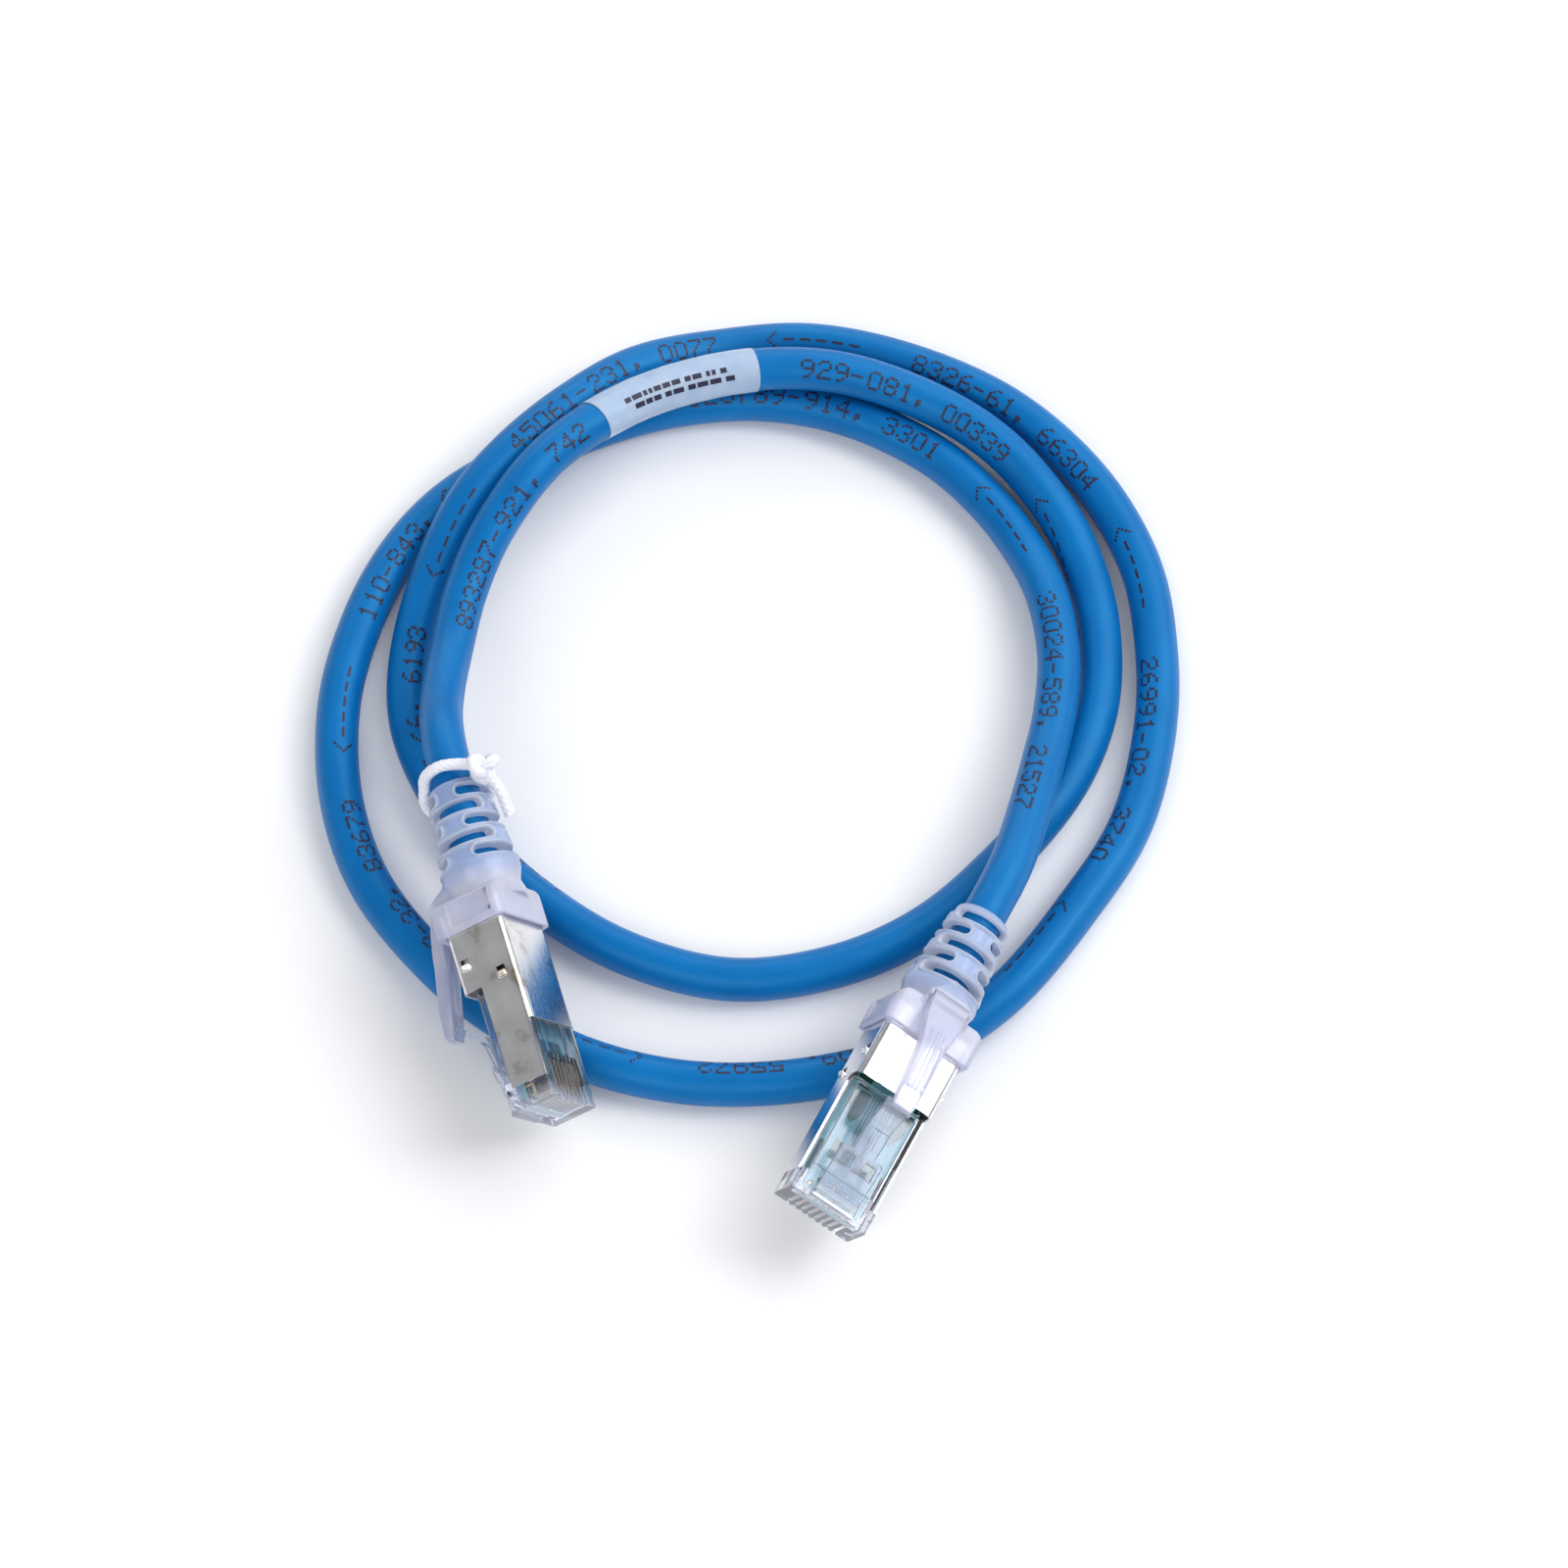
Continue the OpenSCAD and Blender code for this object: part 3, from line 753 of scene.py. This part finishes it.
def label_sleeve():
    rows, turns = 90, 96
    spread = 2 * math.pi + LABEL_OVERLAP
    verts, spots = [], []
    for lift in (LABEL_FILM, 0.0):
        for i in range(rows + 1):
            for k in range(turns + 1):
                a = LABEL_SEAM + spread * k / turns
                lap = LAP_LIFT * min(1, max(0, (k / turns - 0.93) / 0.05))
                slant = 0.5 * math.sin(a - 0.6)
                s = label_s[0] + slant + (label_s[1] - label_s[0]) * i / rows
                p, _, sd, u = at_reach(s)
                wave = 0.02 * math.sin(5 * a + s) + 0.015 * math.sin(1.3 * s)
                r = LABEL_SKIN + lift + lap + max(wave, 0)
                verts.append(p + r * (math.cos(a) * u + math.sin(a) * sd))
                spots.append((math.cos(a), math.sin(a), s))
    n = turns + 1
    layer = (rows + 1) * n
    faces = []
    for i in range(rows):
        for k in range(turns):
            q = [i * n + k, (i + 1) * n + k, (i + 1) * n + k + 1, i * n + k + 1]
            faces += [q, [layer + v for v in reversed(q)]]
    rim = [i * n for i in range(rows + 1)] + [rows * n + k for k in range(1, n)]
    rim += [i * n + turns for i in range(rows - 1, -1, -1)] + list(range(turns - 1, 0, -1))
    for v, w in zip(rim, rim[1:] + rim[:1]):
        faces.append([w, v, layer + v, layer + w])
    obj = outward(mesh_object("label_sleeve", verts, faces, True))
    write_attribute(obj, "lay", spots)
    return obj


label = label_sleeve()


def label_bars():
    """Two rows of plain bars where a printed label has its words."""
    verts, faces = [], []
    for row, angle in enumerate(BAR_ROWS):
        s = label_s[0] + 3.2 + row
        while s < label_s[1] - 5:
            long = dice.uniform(0.5, 1.7)
            first = len(verts)
            for lift in BAR_LIFTS:
                for i in range(5):
                    for edge in (-1, 1):
                        p, _, sd, u = at_reach(s + long * i / 4)
                        a = angle + edge * BAR_HALF_ANGLE
                        r = LABEL_SKIN + lift
                        verts.append(p + r * (math.cos(a) * u + math.sin(a) * sd))
            for i in range(4):
                q = [first + 2 * i, first + 2 * i + 2, first + 2 * i + 3, first + 2 * i + 1]
                faces += [q, [v + 10 for v in reversed(q)]]
            rim = [first + 2 * i for i in range(5)] + [first + 9 - 2 * i for i in range(5)]
            for v, w in zip(rim, rim[1:] + rim[:1]):
                faces.append([w, v, v + 10, w + 10])
            s += long + dice.choice([0.3, 0.3, 0.7])
    return outward(mesh_object("label_bars", verts, faces))


bars = note_place(label_bars())

# ---- the elastic tie ----
TIE_D = 1.5
TIE_STEP = 0.12
TIE_SIDES = 30
LOOP_TOP, LOOP_REAR_X, LOOP_SLANT = -23, -48.3, 1.2
LOOP_R = (3.85, 5.1)
KNOT_ANGLE, KNOT_REACH, KNOT_R = -67, 60, 6.4
knot = on_plug("a", -46, KNOT_R * math.cos(math.radians(KNOT_ANGLE)),
               KNOT_R * math.sin(math.radians(KNOT_ANGLE)))
tail_end = knot + np.array([3.5, -4.8, -4])


def ease(t):
    t = max(0, min(1, t))
    return t * t * (3 - 2 * t)


def loop_point(degrees):
    c = math.cos(math.radians(degrees - LOOP_TOP))
    r = LOOP_R[0] + (LOOP_R[1] - LOOP_R[0]) * ease((0.15 - c) / 0.8)
    a = math.radians(degrees)
    p = on_plug("a", LOOP_REAR_X + LOOP_SLANT * (1 - c) ** 2, r * math.cos(a), r * math.sin(a))
    off = abs(degrees - KNOT_ANGLE)
    return p + 0.75 * ease(1 - min(off, 360 - off) / KNOT_REACH) * (knot - p)


def braid(a, reach):
    """Plaited threads: two families of ridges that pass over each other."""
    over = np.cos(5 * a + 6.4 * reach) * 0.5 + 0.5
    under = np.cos(5 * a - 6.4 * reach) * 0.5 + 0.5
    return TIE_D / 2 - 0.12 + 0.15 * np.maximum(over, under)


def braided(name, points):
    line = smooth_line(points, TIE_STEP)
    return tube(name, line, braid, TIE_SIDES, drifting_frames(line))


def knot_line():
    """An overhand knot pulled tight."""
    turns = []
    for i in range(31):
        t = math.radians(-60 + 400 * i / 30)
        turns.append((0.72 * (math.sin(t) + 1.5 * math.sin(2 * t)),
                      0.68 * (math.cos(t) - 1.5 * math.cos(2 * t)),
                      -0.9 * math.sin(3 * t)))
    turn = Euler([math.radians(t) for t in (62, 20, 30)], "XYZ").to_matrix()
    core = [(0.0, 0.0, 0.0)]
    return [knot + np.array(turn @ Vector(p)) for p in core + turns + core]


elastic_loop = braided(
    "elastic_loop", [loop_point(d) for d in range(KNOT_ANGLE + 24, KNOT_ANGLE + 337, 8)])
knot_turns = braided("knot_turns", knot_line())
tail_middle = knot + 0.5 * (tail_end - knot) + np.array([0.3, 0.2, 0.3])
knot_tail = braided("knot_tail", [knot, tail_middle, tail_end])

finish_piece(jacket, JACKET, "root", ["cable_jacket"])
finish_piece(legend, INK, "root")
finish_piece(label, FILM, "root", ["label"])
finish_piece(bars, INK, "root")
finish_piece(elastic_loop, ELASTIC, "root", ["tie_loop"])
finish_piece(knot_turns, ELASTIC, "root", ["tie_knot"])
finish_piece(knot_tail, ELASTIC, "root")

# ---- plug pieces, in the plug frame: +X out of the nose, +Z the latch side ----
PITCH = 1.02
HALF_W = 5.84
HALF_H = 3.3
SHEET = 0.3
GAP = 0.05
BODY_W = HALF_W - SHEET - GAP
SHIELD_BOTTOM = -HALF_H - GAP - SHEET
SHIELD_TOP = 4.9
SHIELD_REAR_X, SHIELD_FRONT_X = -28.35, -3.05
FOLD_STEPS = 8
CONTACT_Y = [(i - 3.5) * PITCH for i in range(8)]
CONTACT_T = 0.35
CONTACT_SLOT = 0.5
TAIL_X = (-2.0, -3.1)
BOARD_Z = (0.5, 1.5)
BOARD_HOLE = 0.27
COPPER_T = 0.035
LOUVERS = ((-21, 3.2), (-18.2, -1.5))
LATCH_PIVOT = (-1.9, 3.85)
LATCH_HALF_W = 3.05
LATCH_STEM = 1.65
LATCH_T = 0.75
LATCH_SLOPE = 11
AXLE_R = 0.5


def plug_shell():
    """The clear housing: nose, narrower rear, latch root, board bay and contact slots."""
    body = prism(rounded((-HALF_W, HALF_W), (-HALF_H, HALF_H), 0.5), -3, 0, "x")
    rear = prism(rounded((-BODY_W, BODY_W), (-HALF_H, HALF_H), 0.8), -17.2, -2.9, "x")
    root = [block((x, -0.6), (-LATCH_HALF_W, LATCH_HALF_W), (3.2, top))
            for x, top in ((-2.9, 3.6), (-1.9, 4.4))]
    combine(body, [rear] + root, "UNION")
    cuts = [rod(LATCH_PIVOT, AXLE_R + GAP, -3.6, 3.6, "y")]
    cuts.append(block((-16.6, -4.2), (-4.6, 4.6), (2.4, 5)))
    cuts.append(block((-18, -1.15), (-4.9, 4.9), (0.42, 1.8)))
    slot_spans = [((-6.5, -0.75), (-2.2, 0.5)), ((-6.5, -0.75), (-5, -2.1))]
    slot_spans.append(((-0.9, 1), (-5, -2.75)))
    for x, z in slot_spans:
        cuts += [block(x, (y - CONTACT_SLOT / 2, y + CONTACT_SLOT / 2), z) for y in CONTACT_Y]
    combine(body, cuts, "DIFFERENCE")
    return soften(body, 0.07, 2)


def contact_set():
    """Eight bent blades, each with a round tail up through the board."""
    blades = []
    for i, y in enumerate(CONTACT_Y):
        x = TAIL_X[i % 2]
        side_view = [(x - 0.2, -0.15), (x - 0.2, -0.5), (-1.35, -0.5), (-1.35, -2.3)]
        side_view += [(-1.42, -2.4), (-1.55, -2.45), (-5.6, -2.45), (-5.9, -2), (-6.2, -2.2)]
        side_view += [(-5.75, -2.8), (-1.5, -2.8)]
        side_view += [(-1.2, -2.74), (-1.03, -2.6), (-1, -2.4), (-1, -0.45), (-1.3, -0.15)]
        blades.append(prism(side_view, y - CONTACT_T / 2, y + CONTACT_T / 2, "y"))
        blades.append(rod((x, y), 0.22, -0.3, 1.65, "z", 16))
    return soften(join(blades, "contacts"), 0.05, 2, 50)


def board():
    base = block((-19.5, -8), (-4.8, 4.8), BOARD_Z)
    combine(base, [block((-8.1, -1.2), (-4.3, 4.3), BOARD_Z)], "UNION")
    holes = [rod((TAIL_X[i % 2], y), BOARD_HOLE, 0, 2, "z", 24) for i, y in enumerate(CONTACT_Y)]
    combine(base, holes, "DIFFERENCE")
    return soften(base, 0.04, 1)


def copper():
    """Raised copper under the mask: pours by the shield, traces to the contacts."""
    parts = []
    for span in ((BOARD_Z[1], BOARD_Z[1] + COPPER_T), (BOARD_Z[0] - COPPER_T, BOARD_Z[0])):
        for s in (-1, 1):
            parts.append(block((-18.7, -17.2), sorted((s * 2.6, s * 4.6)), span))
            pour = [(-16.6, s * 1.9), (-16.6, s * 4.3), (-14.2, s * 4.3), (-13.1, s * 3.6)]
            pour += [(-12.3, s * 3.4), (-11.9, s * 2.8), (-13.3, s * 1.9)]
            parts.append(prism(pour, span[0], span[1], "z"))
            for j in range(3):
                y = s * (0.55 + 0.42 * j)
                parts.append(block((-16.8, -9 - 0.5 * j), sorted((y, y + s * 0.16)), span))
            parts.append(block((-9.1, -6.4), sorted((s * 0.3, s * 3.4)), span))
            parts.append(block((-4.9, -4.4), sorted((s * 2.9, s * 4.1)), span))
        for i, y in enumerate(CONTACT_Y):
            centre = (TAIL_X[i % 2], y)
            ring = rod(centre, 0.42, span[0], span[1], "z", 24)
            parts.append(combine(ring, [rod(centre, 0.28, 0, 2, "z", 24)], "DIFFERENCE"))
    return soften(join(parts, "copper"), 0.012, 1)


def metal_shell():
    """The folded sheet: open over the latch window, the contacts and the louvres' mouths."""
    outside = rounded((-HALF_W, HALF_W), (SHIELD_BOTTOM, SHIELD_TOP), 1, FOLD_STEPS)
    inside = rounded((-HALF_W + SHEET, HALF_W - SHEET), (SHIELD_BOTTOM + SHEET, SHIELD_TOP - SHEET),
                     1 - SHEET, FOLD_STEPS)
    shell = prism(outside, SHIELD_REAR_X, SHIELD_FRONT_X, "x")
    cuts = [prism(inside, -30, 0, "x")]
    cuts.append(block((-17.4, 0), (-10, 10), (1.9, 10)))
    cuts.append(block((-11, 0), (-HALF_W + 0.6, HALF_W - 0.6), (-10, 0)))
    cuts.append(block((-11, 0), (-10, 10), (-10, -3.2)))
    for cx, cz in LOUVERS:
        cuts.append(block((cx - 0.8, cx - 0.02), (-10, 10), (cz - 0.62, cz + 0.62)))
    combine(shell, cuts, "DIFFERENCE")
    return soften(shell, 0.07, 2, 40)


def louvers():
    """Four small scoops pushed out of the side walls, open towards the boot."""
    def field(x, y, z):
        best = np.full(x.shape, 9.0, np.float32)
        side = np.abs(y) - HALF_W
        for cx, cz in LOUVERS:
            plan = rect(x, z, (cx - 0.05, cx + 0.95), (cz - 0.72, cz + 0.72), 0.3)
            best = np.minimum(best, keep(plan, side - 0.55 + 0.42 * (x - cx), 0.22))
        return np.maximum(best, HALF_W - 0.02 - np.abs(y))
    return moulded("louvers", (-22.2, -6.6, -2.6), (-16.9, 6.6, 4.3), 0.06, field)


SLOT_PITCH = 2.25
SLOT_ROWS = 5
SLOT_R = 0.68
FIRST_SLOT = -35.4
SLEEVE_LENGTH = 12.3
PIVOT = (-30.6, 6.7)
HINGE_R = 1.0
HOOD_W = 6.6
HOOD_BOTTOM, HOOD_TOP = -4.25, 6
HOOD_REAR_X, HOOD_FRONT_X = -30.4, -25.4
HOOD_CORNER = 1.9
CABLE_BORE_R = 3.0


def sleeve_radius(x):
    """The flexible sleeve widens evenly from its tip to the hood."""
    return 3.72 + 1.38 * np.clip((x - BOOT_END_X) / SLEEVE_LENGTH, 0, 1)


def slot_distance(x, y, z):
    """Distance to the nearest opening of the flexible sleeve."""
    turn = np.arctan2(y, z)
    slots = np.full(x.shape, 9.0, np.float32)
    for row in range(SLOT_ROWS):
        row_x = FIRST_SLOT - SLOT_PITCH * row
        row_r = float(sleeve_radius(row_x))
        middle = (row % 2) * math.pi / 2
        offset = np.abs((turn - middle + math.pi / 2) % math.pi - math.pi / 2)
        over = np.maximum(offset * row_r - (math.radians(64) * row_r - 0.5), 0)
        slots = np.minimum(slots, np.hypot(over, x - row_x) - SLOT_R)
    return slots


def hood_field(x, y, z):
    """The block behind the shield, with a sunk panel in each side."""
    section = rect(y, z, (-HOOD_W, HOOD_W), (HOOD_BOTTOM, HOOD_TOP), 0.9)
    plan = rect(x, y, (HOOD_REAR_X, HOOD_FRONT_X + 5.4), (-HOOD_W, HOOD_W), HOOD_CORNER)
    hood = keep(keep(section, plan, 0.25), x - HOOD_FRONT_X, 0.12)
    recess = np.maximum(rect(x, z, (-29.4, -26.4), (-2.9, 3.3), 0.15), HOOD_W - 0.42 - np.abs(y))
    return keep(hood, -recess, 0.06)


def wedge_field(x, y, z):
    """The ramp that covers the guard's hinge from behind."""
    profile = outline(x, z, [(-35.4, 4), (-32.2, 6.9), (-30.9, 7.35), (-29.8, 6), (-29.8, 4)])
    plan = outline(x, y, [(-35.6, 0.2), (-31.5, 3.2), (-29, 3.2), (-29, -3.2), (-31.5, -3.2),
                          (-35.6, -0.2)])
    return keep(profile, plan, 0.5)


def boot_field(x, y, z):
    r = np.hypot(y, z)
    slots = slot_distance(x, y, z)
    rim = 0.36 * np.exp(-((slots - 0.24) / 0.24) ** 2) - 0.14
    collar = 0.3 * np.exp(-((x + 33.6) / 0.95) ** 2) - 0.25 * np.exp(-((x + 31.4) / 0.8) ** 2)
    tip = -0.35 * np.clip((BOOT_END_X + 0.6 - x) / 0.6, 0, 1) ** 2
    body = keep(r - (sleeve_radius(x) + rim + collar + tip), -slots, 0.2)
    body = keep(body, BOOT_END_X - x, 0.3)
    body = keep(body, x + 29, 0.2)
    body = melt(body, hood_field(x, y, z), 0.5)
    body = melt(body, wedge_field(x, y, z), 0.6)
    # the seat of the guard's pin, and the space that the guard swings in
    seat = np.maximum(np.hypot(x - PIVOT[0], z - PIVOT[1]) - HINGE_R - 0.04, np.abs(y) - 2.75)
    swing = np.where(x < PIVOT[0], 1.0, -np.minimum(z - PIVOT[1] + 0.35, 3.5 - np.abs(y)))
    body = keep(body, -seat, 0.05)
    body = keep(body, -swing, 0.05)
    pocket = np.maximum(rect(y, z, (-5.94, 5.94), (SHIELD_BOTTOM - 0.1, 5), 1.1), -28.4 - x)
    body = keep(body, -pocket, 0.12)
    # two moulding marks at the lower corners of each side panel
    for cx in (-29.1, -26.7):
        mark = np.maximum(rect(x, z, (cx - 0.35, cx + 0.35), (-3.0, -2.4), 0.1), 5.5 - np.abs(y))
        body = keep(body, -mark, 0.05)
    return keep(body, CABLE_BORE_R - r, 0.1)


def flex_boot():
    """The boot, with a tone on each vertex: X near a slot's rim, where the materials paint a
    highlight, Y over the cable.
    """
    obj = moulded("boot", (-47.2, -6.8, -5.5), (-25.2, 6.8, 7.6), 0.1, boot_field)
    place = np.empty(len(obj.data.vertices) * 3, np.float32)
    obj.data.vertices.foreach_get("co", place)
    x, y, z = place.reshape(-1, 3).T
    # painted highlight mask: close to each slot's rim the boot's colour is painted paler
    rim = np.exp(-(slot_distance(x, y, z) / 0.42) ** 2)
    over_cable = np.clip((-31.5 - x) / 2.5, 0, 1)
    write_attribute(obj, "tone", np.column_stack([rim, over_cable, 0 * x]))
    return obj


GUARD_TOP = [(-30.9, 7.5), (-29.5, 8.1), (-25.3, 9.45), (-18.5, 11.03), (-15, 11.35)]
GUARD_TIP = [(-14.1, 10.95), (-14, 9.95)]
GUARD_UNDER = [(-16.5, 9.3), (-22.8, 7.9), (-27.5, 6.95)]
GUARD_ROOT = [(-30, 6.45), (-30.6, 6.4)]
GUARD_HALF_W = [(-30.6, 2.65), (-28, 2.6), (-24, 1.8), (-15, 1.5), (-13.9, 1.35)]
GUARD_PADS = ((-17.6, 0.85), (-17.6, -0.85), (-24.6, 1.1))


def along(x, points):
    """The height or width at x of a line through points."""
    return np.interp(x, *zip(*sorted(points)))


def guard_field(x, y, z):
    """The latch guard: a tapering arm with grooves on top, a channel below, and its pin."""
    profile = outline(x, z, GUARD_TOP + GUARD_TIP + GUARD_UNDER + GUARD_ROOT)
    arm = keep(profile + 0.05, np.abs(y) - along(x, GUARD_HALF_W), 0.35)
    crown = along(x, GUARD_TOP)
    groove = rect(y, z - crown, (-0.28, 0.28), (-0.22, 1), 0.15)
    for s in (-1, 1):
        groove = np.minimum(groove, rect(y - s * 0.95, z - crown, (-0.16, 0.16), (-0.2, 1), 0.1))
    groove = np.maximum(groove, np.maximum(-26.2 - x, x + 16.9))
    arm = keep(arm, -groove, 0.12)
    channel = np.maximum(rect(y, z - along(x, GUARD_UNDER), (-0.85, 0.85), (-1, 0.7), 0.3),
                         np.maximum(-27 - x, x + 17.5))
    arm = keep(arm, -channel, 0.15)
    for cx, cy in GUARD_PADS:
        pad = np.sqrt(((x - cx) / 0.5) ** 2 + ((y - cy) / 0.32) ** 2)
        height = np.abs(z - along(cx, GUARD_TOP)) - 0.1
        arm = melt(arm, keep(0.4 * (pad - 1), height, 0.1), 0.1)
    pin = np.maximum(np.hypot(x - PIVOT[0], z - PIVOT[1]) - HINGE_R, np.abs(y) - 2.65)
    return melt(arm, pin, 0.15)


def guard_arm():
    return moulded("guard", (-31.6, -2.8, 5.7), (-13.7, 2.8, 11.6), 0.085, guard_field)


def lock_latch():
    """The latch: a sloping plate with two windows, a stem, a bent tail and its axle."""
    half = LATCH_T / 2
    plate = prism(rounded((-6.3, 0), (-LATCH_HALF_W, LATCH_HALF_W), 0.4), -half, half, "z")
    stem = prism(rounded((-11, -6), (-LATCH_STEM, LATCH_STEM), 0.2), -half, half, "z")
    combine(plate, [stem], "UNION")
    cuts = [prism(rounded((-5.6, -3.7), (y - 0.9, y + 0.9), 0.2), -1, 1, "z")
            for y in (-LATCH_STEM, LATCH_STEM)]
    cuts.append(block((-10.4, -6.7), (-0.5, 0.5), (0.12, 1)))
    combine(plate, cuts, "DIFFERENCE")
    turn = Matrix.Rotation(math.radians(LATCH_SLOPE), 4, "Y")
    plate.data.transform(Matrix.Translation((LATCH_PIVOT[0], 0, LATCH_PIVOT[1])) @ turn)
    side_view = [(-11.6, 5.35), (-12, 5.42), (-12.5, 5.52), (-12.85, 5.75), (-15.3, 8.95)]
    side_view += [(-14.55, 9.4), (-12.5, 6.62), (-12.25, 6.42), (-11.9, 6.33), (-11.6, 6.27)]
    tail = prism(side_view, -LATCH_STEM, LATCH_STEM, "y")
    rim = prism([(-14.9, 8.4), (-15.3, 8.95), (-14.55, 9.4), (-14.15, 8.85)],
                -LATCH_STEM - 0.2, LATCH_STEM + 0.2, "y")
    axle = rod(LATCH_PIVOT, AXLE_R, -LATCH_HALF_W, LATCH_HALF_W, "y")
    combine(plate, [tail, rim, axle], "UNION")
    return soften(plate, 0.09, 3, 30)


# Name, maker, material, CAD node it stands for, slot, and body. Each is made once for each end
PIECES = [
    ("plug_shell", plug_shell, CLEAR, "plug_housing", "clear_plastic", "root"),
    ("gold_contacts", contact_set, GOLD, "contacts", "gold", "root"),
    ("board", board, BOARD, "circuit_board", "board_green", "root"),
    ("copper", copper, COPPER, None, "board_green", "root"),
    ("metal_shell", metal_shell, None, "shield", "nickel", "root"),
    ("louvers", louvers, None, None, "nickel", "root"),
    ("flex_boot", flex_boot, FROSTED, "boot", "frosted_plastic", "root"),
    ("guard_arm", guard_arm, FROSTED_ARM, "latch_guard", "frosted_plastic", "latch_guard"),
    ("lock_latch", lock_latch, CLEAR_LATCH, "latch", "clear_plastic", "latch"),
]
for name, make, mat, node, slot, body in PIECES:
    master = note_place(bake(make()))
    for end in ENDS:
        piece = bpy.data.objects.new(f"{name}_{end}", master.data.copy())
        scene.collection.objects.link(piece)
        finish_piece(
            piece, mat or NICKEL[end], "root" if body == "root" else f"{body}_{end}",
            [f"{node}_{end}"] if node else (), POSES[end],
        )
    bpy.data.objects.remove(master)

# ---- inner pieces of the CAD that stay ----
PAIR_COLOURS = {
    "pair_orange": (0.8, 0.24, 0.03), "pair_blue": (0.02, 0.09, 0.5),
    "pair_green": (0.02, 0.3, 0.08), "pair_brown": (0.18, 0.08, 0.035),
    "wire_manager": (0.75, 0.75, 0.74),
}
kept = {n: insulation_material(n, c) for n, c in PAIR_COLOURS.items()}
kept["foil_screen"] = metal_mesh_material("foil_screen", (0.85, 0.85, 0.87), 0.2, 500)
kept["braid_collar"] = metal_mesh_material("braid_collar", (0.65, 0.62, 0.58), 0.35, 1600)
for name, mat in kept.items():
    for end in ENDS:
        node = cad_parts[f"{name}_{end}"]
        for slot in node.material_slots:
            slot.material = mat

# ---- floor, world and lights ----
FLOOR_REACH = 3.0
FLOOR_Z = -0.0001
corners = [(-1, -1), (1, -1), (1, 1), (-1, 1)]
floor = mesh_object(
    "floor", [(x * FLOOR_REACH, y * FLOOR_REACH, FLOOR_Z) for x, y in corners], [(0, 1, 2, 3)])
floor.data.materials.append(material("floor", (0.9, 0.9, 0.905), 0.7))

world = bpy.data.worlds.new("world")
scene.world = world
world.use_nodes = True
background = world.node_tree.nodes["Background"]
background.inputs["Color"].default_value = (0.93, 0.95, 1.0, 1)
background.inputs["Strength"].default_value = 0.33


def softbox(name, at, aim, size, power):
    light = bpy.data.lights.new(name, "AREA")
    light.shape = "RECTANGLE"
    light.size, light.size_y = size
    light.energy = power
    obj = bpy.data.objects.new(name, light)
    obj.location = at
    obj.rotation_euler = (Vector(aim) - Vector(at)).to_track_quat("-Z", "Y").to_euler()
    obj.visible_camera = False
    scene.collection.objects.link(obj)


softbox("key", (0.72, 0.3, 0.85), (0, 0, 0), (1.3, 1.2), 10.5)
softbox("spark", (0.75, 0.03, 0.84), (0.01, -0.06, 0), (0.4, 0.4), 2.2)
softbox("back", (-0.1, 1.0, 0.6), (0, 0, 0), (1.2, 0.5), 4)
softbox("left", (-0.95, 0.02, 0.75), (0, 0, 0), (1.2, 1.2), 0.4)
softbox("front", (-0.35, -0.95, 0.95), (0, -0.05, 0), (1.4, 0.8), 9)
